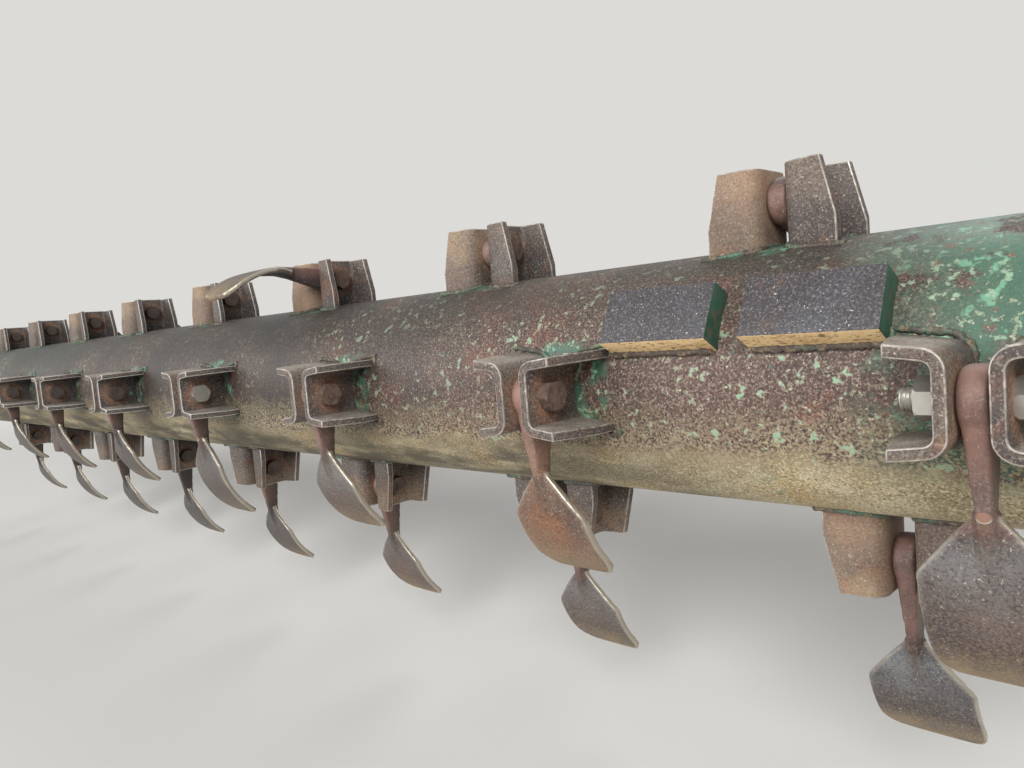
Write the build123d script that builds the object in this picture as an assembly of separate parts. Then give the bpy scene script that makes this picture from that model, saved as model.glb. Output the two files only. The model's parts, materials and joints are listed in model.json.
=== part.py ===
from build123d import *
from math import atan2, cos, degrees, radians, tan
import os

# Flail rotor of a tractor mulcher, in millimetres.
# +X runs along the shaft to the right-hand end, +Z is up, and -Y is the side that faces the viewer.
# The origin is the centre of the right-hand bearing flange, on the face that meets the machine's side plate.

# Tracks and rows
TRACK = 85.0  # from one flail to the next along the shaft, over all rows
ROW_COUNT = 4
FLAILS_PER_ROW = 8
ROW_LEAN = -10.0  # degrees about +X by which the whole rotor is parked away from upright
ROWS = (
    # name, degrees from the top about +X; in the order of their first tracks from the right
    ("front", 90.0),
    ("bottom", 180.0),
    ("top", 0.0),
    ("back", 270.0),
)
SEIZED_FLAIL = ("top", 2)  # row, and place in the row, of the one flail that has rusted fast
SEIZED_CLOCK = 70.0  # degrees from the top at which it points, towards the viewer

# Tube
TUBE_DIAMETER = 219.1
TUBE_WALL = 10.0
TUBE_END_MARGIN = 90.0  # from the outermost track to the tube's end

# Shaft ends
DISC_THICKNESS = 20.0
DISC_RECESS = 8.0
SHAFT_FLANGE_DIAMETER = 160.0
SHAFT_FLANGE_THICKNESS = 18.0
COLLAR_DIAMETER = 76.0
COLLAR_LENGTH = 20.0
JOURNAL_DIAMETER = 55.0
DRIVE_DIAMETER = 45.0
DRIVE_LENGTH = 80.0
DRIVE_CHAMFER = 2.0
KEYWAY_WIDTH = 14.0
KEYWAY_DEPTH = 5.5
KEYWAY_LENGTH = 56.0
KEYWAY_CLOCK = 27.0  # degrees from the top about +X, as parked

# Bearing housings
SHAFT_CLEARANCE = 0.3
CUP_DIAMETER = 120.0
CUP_DEPTH = 24.0  # inboard of the flange face
FLANGE_DIAMETER = 200.0
FLANGE_THICKNESS = 16.0
NOSE_DIAMETER = 112.0
NOSE_LENGTH = 22.0
CAP_THICKNESS = 6.0  # closes the nose of the housing at the end without the drive
FLANGE_BOLT_CIRCLE = 160.0
FLANGE_BOLT_COUNT = 4
FLANGE_BOLT_HOLE = 17.5
COLLAR_CLEARANCE = 3.0  # between the standing cup and the turning collar
SHAFT_END_CLEARANCE = 4.0  # between the journal's end and the cap

# Flail lugs, bent from plate
LUG_GAP = 20.0
LUG_PLATE = 8.0
LUG_HEIGHT = 68.0  # at the face beside the flail
LUG_SPLAY = 7.0  # degrees by which each flange opens past square
LUG_TIP_RADIUS = 173.0  # from the shaft's centre line
LUG_FLANGE_TIP = 33.0  # from the face beside the flail
LUG_FLANGE_BASE = 48.0
LUG_BEND_RADIUS = 18.0
PIN_RADIUS = 146.0  # from the shaft's centre line

# Flail bolts
BOLT_DIAMETER = 16.0
BOLT_HOLE_CLEARANCE = 0.25
BOLT_ACROSS_FLATS = 24.0
BOLT_HEAD_HEIGHT = 10.0
NUT_HEIGHT = 14.0
BOLT_STICK_OUT = 9.0

# Flail, forged with an upright shank and a wide curved paddle
EYE_DIAMETER = 40.0
EYE_THICKNESS = 17.0
EYE_CLEARANCE = 0.5
SHANK_ROOT_DEPTH = 36.0
NECK_REACH = 71.0  # from the pin
NECK_WIDTH = 18.0
NECK_DEPTH = 16.0
SHANK_TIP_THICKNESS = 8.0
PADDLE_WIDTH = 80.0
PADDLE_THICKNESS = 8.0
PADDLE_SHOULDER_REACH = 109.0
PADDLE_CURVE = 118.0  # radius of the paddle's middle
FLAIL_KINDS = (
    # name, where the paddle starts to curve and where it ends, both from the pin
    ("worn", 76.0, 172.0),
    ("new", 101.0, 196.0),
)
NEW_FLAILS = (("front", 0), ("front", 3))  # row, and place in the row
SHOULDER_ROUNDING = 14.0
TIP_ROUNDING = 20.0
LYING_CLEARANCE = 5.0  # from a flail that lies over to what stops it
LYING_LEAST = 60.0  # degrees past its pin at which it is still clear of everything
LYING_MOST = 175.0  # degrees past its pin at which it would be inside the tube
LYING_HALVINGS = 10

# Balance blocks, welded between the first two front lugs
BLOCK_LENGTH = 98.0
BLOCK_WIDTH = 48.0
BLOCK_THICKNESS = 20.0
BLOCK_SPACING = 124.0
BLOCK_ABOVE_ROW = 28.5  # degrees round the tube from the front row, towards the top
BLOCK_COUNT = 2

PITCH = TRACK * ROW_COUNT
TUBE_RADIUS = TUBE_DIAMETER / 2
TUBE_BORE = TUBE_DIAMETER - 2 * TUBE_WALL
TUBE_LENGTH = TRACK * (FLAILS_PER_ROW * ROW_COUNT - 1) + 2 * TUBE_END_MARGIN
HOUSING_LENGTH = CUP_DEPTH + FLANGE_THICKNESS + NOSE_LENGTH
FLANGE_TO_TUBE = (
    CUP_DEPTH + COLLAR_CLEARANCE + COLLAR_LENGTH + SHAFT_FLANGE_THICKNESS - DISC_RECESS
)
LEFT_FLANGE_FACE = -2 * FLANGE_TO_TUBE - TUBE_LENGTH
FIRST_TRACK = -FLANGE_TO_TUBE - TUBE_END_MARGIN
FRONT_CLOCK = dict(ROWS)["front"] + ROW_LEAN


def round_bar(diameter, start, length):
    """Solid cylinder on the X axis, from start towards +X."""
    return Pos(start + length / 2, 0, 0) * Rot(0, 90, 0) * Cylinder(diameter / 2, length)


def hexagon_bar(across_flats, start, length):
    """Hexagonal prism on the X axis, from start towards +X."""
    face = RegularPolygon(across_flats / 2, 6, major_radius=False)
    return Pos(start, 0, 0) * extrude(Plane.YZ * face, length)


def at_end(piece, side):
    """Puts a piece modelled for the right-hand end at either end of the rotor."""
    if side == "right":
        return piece
    return Pos(LEFT_FLANGE_FACE, 0, 0) * mirror(piece, Plane.YZ)


def rotor_tube():
    """The plain tube that carries the lugs."""
    start = -FLANGE_TO_TUBE - TUBE_LENGTH
    return round_bar(TUBE_DIAMETER, start, TUBE_LENGTH) - round_bar(TUBE_BORE, start, TUBE_LENGTH)


def shaft_end(drive):
    """Disc and flanged stub shaft of the right-hand end, with a keyed drive end where drive is set."""
    seat = -FLANGE_TO_TUBE - DISC_RECESS
    collar = seat + SHAFT_FLANGE_THICKNESS
    journal = collar + COLLAR_LENGTH
    journal_end = HOUSING_LENGTH - CUP_DEPTH - CAP_THICKNESS - SHAFT_END_CLEARANCE
    shaft = round_bar(TUBE_BORE, seat - DISC_THICKNESS, DISC_THICKNESS)
    shaft += round_bar(SHAFT_FLANGE_DIAMETER, seat, SHAFT_FLANGE_THICKNESS)
    shaft += round_bar(COLLAR_DIAMETER, collar, COLLAR_LENGTH)
    shaft += round_bar(JOURNAL_DIAMETER, journal, journal_end - journal)
    if not drive:
        return shaft
    end = round_bar(DRIVE_DIAMETER, journal_end, DRIVE_LENGTH)
    end = chamfer(end.faces().sort_by(Axis.X)[-1].edges(), DRIVE_CHAMFER)
    keyway = Pos(
        journal_end + DRIVE_LENGTH - KEYWAY_LENGTH / 2, 0, (DRIVE_DIAMETER - KEYWAY_DEPTH) / 2
    ) * Box(KEYWAY_LENGTH, KEYWAY_WIDTH, KEYWAY_DEPTH)
    return shaft + end - Rot(KEYWAY_CLOCK, 0, 0) * keyway


def bearing_housing(drive):
    """Flanged bearing housing of the right-hand end, capped where no drive comes out of it."""
    housing = round_bar(CUP_DIAMETER, -CUP_DEPTH, CUP_DEPTH)
    housing += round_bar(FLANGE_DIAMETER, 0, FLANGE_THICKNESS)
    housing += round_bar(NOSE_DIAMETER, FLANGE_THICKNESS, NOSE_LENGTH)
    bore_length = HOUSING_LENGTH if drive else HOUSING_LENGTH - CAP_THICKNESS
    housing -= round_bar(JOURNAL_DIAMETER + 2 * SHAFT_CLEARANCE, -CUP_DEPTH, bore_length)
    for n in range(FLANGE_BOLT_COUNT):
        hole = Pos(0, 0, FLANGE_BOLT_CIRCLE / 2) * round_bar(FLANGE_BOLT_HOLE, 0, FLANGE_THICKNESS)
        housing -= Rot(360.0 * (n + 0.5) / FLANGE_BOLT_COUNT, 0, 0) * hole
    return housing


def splayed(start, half_height):
    """Outline from start out past a lug's flange ends, opening by the flanges' splay."""
    end = LUG_GAP / 2 + LUG_FLANGE_BASE
    half_end = half_height + (end - start) * tan(radians(LUG_SPLAY))
    corners = Polyline(
        (start, -half_height), (start, half_height), (end, half_end), (end, -half_end), close=True
    )
    return make_face(corners)


def lug():
    """The bent lug on the +X side of a flail that stands at x = 0 and points up."""
    inner = LUG_GAP / 2
    outline = splayed(inner, LUG_HEIGHT / 2)
    outline = fillet(outline.vertices().sort_by(Axis.X)[:2], LUG_BEND_RADIUS)
    inside = LUG_HEIGHT / 2 + LUG_PLATE * (tan(radians(LUG_SPLAY)) - 1 / cos(radians(LUG_SPLAY)))
    hollow = splayed(inner + LUG_PLATE, inside)
    hollow = fillet(hollow.vertices().sort_by(Axis.X)[:2], LUG_BEND_RADIUS - LUG_PLATE)
    channel = extrude(outline - hollow, LUG_TIP_RADIUS)
    taper = Polyline(
        (inner + LUG_FLANGE_TIP, LUG_TIP_RADIUS),
        (inner + LUG_FLANGE_BASE, TUBE_RADIUS),
        (inner + LUG_FLANGE_BASE, LUG_TIP_RADIUS),
        close=True,
    )
    channel -= extrude(Plane.XZ * make_face(taper), LUG_HEIGHT, both=True)
    channel -= round_bar(TUBE_DIAMETER, 0, inner + LUG_FLANGE_BASE)
    hole = Pos(0, 0, PIN_RADIUS) * round_bar(
        BOLT_DIAMETER + 2 * BOLT_HOLE_CLEARANCE, inner, LUG_PLATE
    )
    return channel - hole


def flail_bolt():
    """Bolt and nut of one flail, on the X axis, with its head on the +X side."""
    web = LUG_GAP / 2 + LUG_PLATE
    shank_end = -web - NUT_HEIGHT - BOLT_STICK_OUT
    shank = round_bar(BOLT_DIAMETER, shank_end, web - shank_end)
    head = hexagon_bar(BOLT_ACROSS_FLATS, web, BOLT_HEAD_HEIGHT)
    nut = hexagon_bar(BOLT_ACROSS_FLATS, -web - NUT_HEIGHT, NUT_HEIGHT)
    return shank + head + nut


def paddle(curve_start, tip_reach):
    """The paddle of a flail that points up, flat as far as curve_start and then bent towards -Y."""
    ring = round_bar(2 * PADDLE_CURVE + PADDLE_THICKNESS, -PADDLE_WIDTH / 2, PADDLE_WIDTH)
    ring -= round_bar(2 * PADDLE_CURVE - PADDLE_THICKNESS, -PADDLE_WIDTH / 2, PADDLE_WIDTH)
    ring &= Pos(0, 0, PADDLE_CURVE) * Box(PADDLE_WIDTH, 4 * PADDLE_CURVE, 2 * PADDLE_CURVE)
    flat = Pos(0, 0, (NECK_REACH + curve_start) / 2) * Box(
        PADDLE_WIDTH, PADDLE_THICKNESS, curve_start - NECK_REACH
    )
    outline = Polyline(
        (-NECK_WIDTH / 2, NECK_REACH),
        (-PADDLE_WIDTH / 2, PADDLE_SHOULDER_REACH),
        (-PADDLE_WIDTH / 2, tip_reach),
        (PADDLE_WIDTH / 2, tip_reach),
        (PADDLE_WIDTH / 2, PADDLE_SHOULDER_REACH),
        (NECK_WIDTH / 2, NECK_REACH),
        close=True,
    )
    face = make_face(outline)
    corners = face.vertices().sort_by(Axis.Y)
    face = fillet(corners[2:4], SHOULDER_ROUNDING)
    face = fillet(face.vertices().sort_by(Axis.Y)[-2:], TIP_ROUNDING)
    blank = extrude(Plane.XZ * face, PADDLE_CURVE)
    blank += extrude(Plane.XZ * face, -PADDLE_THICKNESS)
    return blank & (flat + Pos(0, -PADDLE_CURVE, curve_start) * ring)


def flail(curve_start, tip_reach):
    """One flail on a pin along the X axis, pointing up."""
    root = Pos(0, 0, 0) * Rectangle(EYE_THICKNESS, SHANK_ROOT_DEPTH)
    neck = Pos(0, 0, NECK_REACH) * Rectangle(SHANK_TIP_THICKNESS, NECK_DEPTH)
    run_in = Pos(0, -PADDLE_THICKNESS / 2, PADDLE_SHOULDER_REACH) * Rectangle(
        SHANK_TIP_THICKNESS, PADDLE_THICKNESS / 2
    )
    body = loft([root, neck], ruled=True) + loft([neck, run_in], ruled=True)
    body += round_bar(EYE_DIAMETER, -EYE_THICKNESS / 2, EYE_THICKNESS)
    body += paddle(curve_start, tip_reach)
    return body - round_bar(
        BOLT_DIAMETER + 2 * EYE_CLEARANCE, -EYE_THICKNESS / 2, EYE_THICKNESS
    )


def balance_block(x):
    """Flat bar seated along the tube on its top line, centred on x."""
    bar = Pos(x, 0, TUBE_RADIUS) * Box(BLOCK_LENGTH, BLOCK_WIDTH, 2 * BLOCK_THICKNESS)
    return bar - round_bar(TUBE_DIAMETER, x - BLOCK_LENGTH / 2, BLOCK_LENGTH)


def track_x(row_start, number):
    """Place along the shaft of one flail of a row, counted from the right."""
    return FIRST_TRACK - TRACK * (row_start + ROW_COUNT * number)


def lying_clock(shape, pin_clock, stops):
    """Degrees from the top at which a flail of the top row lies against what stops it behind."""
    clear, blocked = pin_clock - LYING_LEAST, pin_clock - LYING_MOST
    for _ in range(LYING_HALVINGS):
        middle = (clear + blocked) / 2
        swung = Rot(pin_clock, 0, 0) * Pos(0, 0, PIN_RADIUS) * Rot(middle - pin_clock, 0, 0) * shape
        if min(swung.distance_to(stop) for stop in stops) < LYING_CLEARANCE:
            blocked = middle
        else:
            clear = middle
    return clear


def save(name, shape):
    """Writes one piece as its own file."""
    export_step(shape, os.path.join("parts", name + ".step"))


os.makedirs("parts", exist_ok=True)
tube = rotor_tube()
save("rotor_tube", tube)
for side in ("left", "right"):
    save("shaft_end_" + side, at_end(shaft_end(side == "left"), side))
    save("bearing_housing_" + side, at_end(bearing_housing(side == "left"), side))

right_lug = lug()
pair = [mirror(right_lug, Plane.YZ), right_lug]
bolt = flail_bolt()
flails = {}
hanging = {}
for kind, curve_start, tip_reach in FLAIL_KINDS:
    flails[kind] = flail(curve_start, tip_reach)
    weight = flails[kind].center(CenterOf.MASS)
    hanging[kind] = 180.0 - degrees(atan2(-weight.Y, weight.Z))
behind = [Rot(-90.0 + ROW_LEAN, 0, 0) * Pos(-TRACK, 0, 0) * side for side in pair]
near_tube = round_bar(TUBE_DIAMETER, -TRACK, 2 * TRACK)
lying = lying_clock(flails["worn"], ROW_LEAN, [near_tube, *behind])

for row_start, (row, from_top) in enumerate(ROWS):
    lugs = []
    bolts = []
    for number in range(FLAILS_PER_ROW):
        clock = from_top + ROW_LEAN
        station = Rot(clock, 0, 0) * Pos(track_x(row_start, number), 0, 0)
        pin = station * Pos(0, 0, PIN_RADIUS)
        lugs += [station * side for side in pair]
        bolts.append(pin * bolt)
        kind = "new" if (row, number) in NEW_FLAILS else "worn"
        if (row, number) == SEIZED_FLAIL:
            points = SEIZED_CLOCK
        elif row == "top":
            points = lying
        else:
            points = hanging[kind]
        track = row_start + ROW_COUNT * number + 1
        save(f"flail_{track:02d}", pin * Rot(points - clock, 0, 0) * flails[kind])
    save("flail_lugs_" + row, Compound(children=lugs))
    save("flail_bolts_" + row, Compound(children=bolts))

blocks = []
for n in range(BLOCK_COUNT):
    x = FIRST_TRACK - PITCH / 2 + BLOCK_SPACING * ((BLOCK_COUNT - 1) / 2 - n)
    blocks.append(Rot(FRONT_CLOCK - BLOCK_ABOVE_ROW, 0, 0) * balance_block(x))
save("balance_blocks", Compound(children=blocks))
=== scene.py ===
"""Looks of a tractor mulcher's flail rotor: worn tube, bent lugs, forged flails, bolts and bearing ends."""

from __future__ import annotations

import json
import logging
import math
import random
from dataclasses import dataclass, field
from enum import Enum

import bmesh
import bpy
from mathutils import Matrix, Vector

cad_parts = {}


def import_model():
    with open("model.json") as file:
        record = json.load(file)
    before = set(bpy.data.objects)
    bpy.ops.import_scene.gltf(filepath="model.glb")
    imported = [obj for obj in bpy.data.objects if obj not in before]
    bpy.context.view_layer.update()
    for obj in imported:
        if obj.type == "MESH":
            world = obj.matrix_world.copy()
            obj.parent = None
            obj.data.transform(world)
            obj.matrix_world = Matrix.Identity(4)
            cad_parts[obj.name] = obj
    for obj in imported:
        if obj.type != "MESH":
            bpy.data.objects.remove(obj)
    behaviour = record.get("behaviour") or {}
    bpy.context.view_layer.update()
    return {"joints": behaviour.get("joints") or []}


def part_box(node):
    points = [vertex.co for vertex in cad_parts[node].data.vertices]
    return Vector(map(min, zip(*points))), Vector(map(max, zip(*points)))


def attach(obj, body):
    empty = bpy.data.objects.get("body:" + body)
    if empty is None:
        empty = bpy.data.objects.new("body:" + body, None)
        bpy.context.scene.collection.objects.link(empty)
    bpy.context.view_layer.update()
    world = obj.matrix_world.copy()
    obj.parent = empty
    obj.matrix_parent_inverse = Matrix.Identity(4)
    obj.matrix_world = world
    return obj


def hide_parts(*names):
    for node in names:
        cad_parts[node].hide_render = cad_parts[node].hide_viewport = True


LOG = logging.getLogger("rotor")
MM = 0.001
UP = Vector((0.0, 0.0, 1.0))
TUBE_RADIUS = 0.10955
# Width of the range that holds nearly all of a noise's values.
NOISE_SPREAD = 0.42
Channel = bpy.types.NodeSocket | float | tuple[float, float, float, float]


class Row(Enum):
    """One of the four rows of flails, with its first track, counted from the right from zero."""

    FRONT = 0
    BOTTOM = 1
    TOP = 2
    BACK = 3


class Age(Enum):
    """How old a flail and its bolt are."""

    WORN = "worn"
    NEW = "new"


def linear(hex_colour: str) -> tuple[float, float, float, float]:
    """Turn an sRGB hex colour into the linear colour that a shader takes.

    Args:
        hex_colour: Six hex digits, with or without a leading hash.

    Returns:
        Linear red, green, blue and an alpha of one.
    """
    digits = hex_colour.lstrip("#")
    channels = [int(digits[i : i + 2], 16) / 255.0 for i in (0, 2, 4)]
    bent = [c / 12.92 if c <= 0.04045 else ((c + 0.055) / 1.055) ** 2.4 for c in channels]
    return (*bent, 1.0)


def add_node(
    tree: bpy.types.NodeTree,
    kind: str,
    settings: dict[str, object] | None = None,
    inputs: dict[str | int, object] | None = None,
) -> bpy.types.Node:
    """Add a shader node with its settings and its links or values.

    Args:
        tree: The material's node tree.
        kind: Blender's name of the node type.
        settings: Properties of the node, by name.
        inputs: Values or output sockets for its inputs, by name or number.

    Returns:
        The new node.
    """
    node = tree.nodes.new(kind)
    for name, value in (settings or {}).items():
        setattr(node, name, value)
    for key, value in (inputs or {}).items():
        socket = node.inputs[key]
        if isinstance(value, bpy.types.NodeSocket):
            tree.links.new(value, socket)
        else:
            socket.default_value = value
    return node


def noise_scale(size_mm: float) -> float:
    """Return the scale of a noise whose blotches are about this size."""
    return 0.5 / (size_mm * MM)


def seen_directly(tree: bpy.types.NodeTree) -> bpy.types.NodeSocket:
    """Tell rays that show the background from those that light the object.

    Args:
        tree: The node tree.

    Returns:
        A socket that is one for camera, glossy and transmission rays.
    """
    path = add_node(tree, "ShaderNodeLightPath")
    mirrored = add_node(
        tree,
        "ShaderNodeMath",
        {"operation": "MAXIMUM"},
        {0: path.outputs["Is Glossy Ray"], 1: path.outputs["Is Transmission Ray"]},
    )
    either = add_node(
        tree,
        "ShaderNodeMath",
        {"operation": "MAXIMUM"},
        {0: path.outputs["Is Camera Ray"], 1: mirrored.outputs[0]},
    )
    return either.outputs[0]


class Surface:
    """A finish built as layers over a bare surface, each with its mask, colour and roughness."""

    def __init__(self, name: str, colour: str, roughness: float, metallic: float = 0.0) -> None:
        """Start a material from its bare surface.

        Args:
            name: Name of the material.
            colour: sRGB hex colour of the bare surface.
            roughness: Its roughness.
            metallic: One for bare metal, else zero.
        """
        self.material = bpy.data.materials.new(name)
        self.material.use_nodes = True
        self.tree = self.material.node_tree
        self.tree.nodes.clear()
        coordinates = add_node(self.tree, "ShaderNodeTexCoord")
        self.place = coordinates.outputs["Object"]
        self.normal = coordinates.outputs["Normal"]
        self.colour: Channel = linear(colour)
        self.roughness: Channel = roughness
        self.metallic: Channel = metallic
        self.height: Channel = 0.0

    def spots(
        self,
        size_mm: float,
        cover: float,
        soft: float = 0.04,
        detail: float = 4.0,
        stretch: tuple[float, float, float] = (1.0, 1.0, 1.0),
        seed: float = 0.0,
    ) -> bpy.types.NodeSocket:
        """Make a mask of blotches of a real size.

        Grain and grit finer than that are drawn about 1 mm coarse, so that they show in the render.

        Args:
            size_mm: Rough size of one blotch.
            cover: Share of the surface that the blotches cover.
            soft: Width of their edge, in steps of the noise.
            detail: How many finer noises are added.
            stretch: Scale of the pattern along each axis.
            seed: Moves the pattern, so that two masks differ.

        Returns:
            A socket that is one inside the blotches.
        """
        moved = add_node(
            self.tree,
            "ShaderNodeMapping",
            inputs={"Vector": self.place, "Location": (seed, seed * 0.7, -seed), "Scale": stretch},
        )
        noise = add_node(
            self.tree,
            "ShaderNodeTexNoise",
            inputs={
                "Vector": moved.outputs[0],
                "Scale": noise_scale(size_mm),
                "Detail": detail,
                "Roughness": 0.6,
            },
        )
        edge = 0.5 + (0.5 - cover) * NOISE_SPREAD
        ramp = add_node(
            self.tree,
            "ShaderNodeMapRange",
            inputs={"Value": noise.outputs["Fac"], "From Min": edge - soft, "From Max": edge + soft},
        )
        return ramp.outputs[0]

    def band(
        self, source: bpy.types.NodeSocket, low: float, high: float, ragged: float, size_mm: float
    ) -> bpy.types.NodeSocket:
        """Make a mask that grows from low to high along a measure, with a ragged edge.

        Args:
            source: The measure, such as a height in metres.
            low: Where the mask is zero.
            high: Where the mask is one.
            ragged: How far noise moves the edge, in the measure's unit.
            size_mm: Size of the edge's tongues.

        Returns:
            The mask's socket.
        """
        noise = add_node(
            self.tree,
            "ShaderNodeTexNoise",
            inputs={"Vector": self.place, "Scale": noise_scale(size_mm), "Detail": 6.0},
        )
        shift = self.scaled(noise.outputs["Fac"], 2.0 * ragged, -ragged)
        moved = self.scaled(source, 1.0, shift)
        ramp = add_node(
            self.tree,
            "ShaderNodeMapRange",
            inputs={"Value": moved, "From Min": low, "From Max": high},
        )
        return ramp.outputs[0]

    def far_off(self, start: float, full: float) -> bpy.types.NodeSocket:
        """Make a mask that grows with the distance from the rotor's right end.

        Args:
            start: Distance where it begins.
            full: Distance from which it is full.

        Returns:
            The mask's socket.
        """
        return self.band(self.along((-1.0, 0.0, 0.0)), start, full, ragged=0.2, size_mm=80)

    def both(self, first: Channel, second: Channel) -> bpy.types.NodeSocket:
        """Multiply two masks, or a mask by a number.

        Args:
            first: A mask.
            second: Another, or how strong the first one stays.

        Returns:
            A socket that is full only where both masks are.
        """
        node = add_node(self.tree, "ShaderNodeMath", {"operation": "MULTIPLY"}, {0: first, 1: second})
        return node.outputs[0]

    def either(self, first: Channel, second: Channel) -> bpy.types.NodeSocket:
        """Join two masks.

        Args:
            first: A mask.
            second: Another.

        Returns:
            A socket that is as full as the fuller one of them.
        """
        node = add_node(self.tree, "ShaderNodeMath", {"operation": "MAXIMUM"}, {0: first, 1: second})
        return node.outputs[0]

    def scaled(self, value: Channel, factor: float, offset: Channel) -> bpy.types.NodeSocket:
        """Stretch and shift a mask or a measure.

        Args:
            value: The mask or measure.
            factor: What it is multiplied by.
            offset: What is added then.

        Returns:
            The result's socket.
        """
        numbers: dict[str | int, object] = {0: value, 1: factor, 2: offset}
        return add_node(self.tree, "ShaderNodeMath", {"operation": "MULTIPLY_ADD"}, numbers).outputs[0]

    def minus(self, measure: bpy.types.NodeSocket) -> bpy.types.NodeSocket:
        """Turn a measure round, so that a band on it falls instead of rising."""
        return self.scaled(measure, -1.0, 0.0)

    def spared(self, mask: bpy.types.NodeSocket, share: float = 1.0) -> bpy.types.NodeSocket:
        """Make a mask that is full but for a share of another mask."""
        return self.scaled(mask, -share, 1.0)

    def at_least(self, least: float, mask: bpy.types.NodeSocket) -> bpy.types.NodeSocket:
        """Lift a mask so that it is nowhere under a number."""
        return self.scaled(mask, 1.0 - least, least)

    def along(
        self, direction: tuple[float, float, float] | Vector, source: bpy.types.NodeSocket | None = None
    ) -> bpy.types.NodeSocket:
        """Measure how far a vector reaches in a direction.

        Args:
            direction: The direction, of length one.
            source: The vector, or None for the place of the surface point.

        Returns:
            The distance's socket, in metres for a place.
        """
        vectors: dict[str | int, object] = {0: self.place if source is None else source, 1: direction}
        node = add_node(self.tree, "ShaderNodeVectorMath", {"operation": "DOT_PRODUCT"}, vectors)
        return node.outputs["Value"]

    def length(self, vector: bpy.types.NodeSocket) -> bpy.types.NodeSocket:
        """Return how long a vector is."""
        node = add_node(self.tree, "ShaderNodeVectorMath", {"operation": "LENGTH"}, {0: vector})
        return node.outputs["Value"]

    def from_shaft(self) -> bpy.types.NodeSocket:
        """Measure the distance of the surface point from the shaft's centre line.

        Returns:
            The distance's socket, in metres.
        """
        flat = add_node(
            self.tree,
            "ShaderNodeVectorMath",
            {"operation": "MULTIPLY"},
            {0: self.place, 1: (0.0, 1.0, 1.0)},
        )
        return self.length(flat.outputs[0])

    def stored(self, name: str, output: str = "Fac") -> bpy.types.NodeSocket:
        """Return what a piece's mesh stores under a name, as a number or as a vector."""
        return add_node(self.tree, "ShaderNodeAttribute", {"attribute_name": name}).outputs[output]

    def coat(
        self,
        mask: bpy.types.NodeSocket,
        colour: str,
        roughness: float | None = None,
        metallic: float | None = None,
        height_mm: float = 0.0,
        strength: float = 1.0,
    ) -> None:
        """Lay one layer over what is there.

        Args:
            mask: Where the layer is.
            colour: sRGB hex colour of the layer.
            roughness: Its roughness, or None to keep what lies under it.
            metallic: One for metal, zero for paint or dirt, or None to keep what is under it.
            height_mm: How far it stands proud, for the bump.
            strength: How much of what is under it the layer hides.
        """
        cover = self.both(mask, strength) if strength < 1.0 else mask
        mix = add_node(
            self.tree,
            "ShaderNodeMix",
            {"data_type": "RGBA"},
            {"Factor": cover, 6: self.colour, 7: linear(colour)},
        )
        self.colour = mix.outputs[2]
        if roughness is not None:
            self.roughness = self.blend(cover, self.roughness, roughness)
        if metallic is not None:
            self.metallic = self.blend(cover, self.metallic, metallic)
        if height_mm:
            self.height = self.scaled(cover, height_mm * MM, self.height)

    def blend(self, mask: bpy.types.NodeSocket, below: Channel, above: float) -> Channel:
        """Mix a number of the lower layer with that of the upper one.

        Args:
            mask: Where the upper layer is.
            below: The lower layer's number.
            above: The upper layer's number.

        Returns:
            The mixed number, or the number itself where both are the same.
        """
        if below == above:
            return below
        mix = add_node(self.tree, "ShaderNodeMix", inputs={"Factor": mask, 2: below, 3: above})
        return mix.outputs[0]

    def roughen(self, size_mm: float, height_mm: float, detail: float = 3.0) -> None:
        """Add an even relief such as pitting or a cast skin.

        Args:
            size_mm: Size of one bump.
            height_mm: Its height.
            detail: How many finer reliefs are added.
        """
        noise = add_node(
            self.tree,
            "ShaderNodeTexNoise",
            inputs={"Vector": self.place, "Scale": noise_scale(size_mm), "Detail": detail},
        )
        self.height = self.scaled(noise.outputs["Fac"], height_mm * MM, self.height)

    def finish(self) -> bpy.types.Material:
        """Join the layers to the shader.

        Returns:
            The finished material.
        """
        channels: dict[str | int, object] = {
            "Base Color": self.colour,
            "Roughness": self.roughness,
            "Metallic": self.metallic,
        }
        if isinstance(self.height, bpy.types.NodeSocket):
            bump = add_node(
                self.tree,
                "ShaderNodeBump",
                inputs={"Strength": 1.0, "Distance": 1.0, "Height": self.height},
            )
            channels["Normal"] = bump.outputs[0]
        shader = add_node(self.tree, "ShaderNodeBsdfPrincipled", inputs=channels)
        add_node(self.tree, "ShaderNodeOutputMaterial", inputs={0: shader.outputs[0]})
        return self.material


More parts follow.
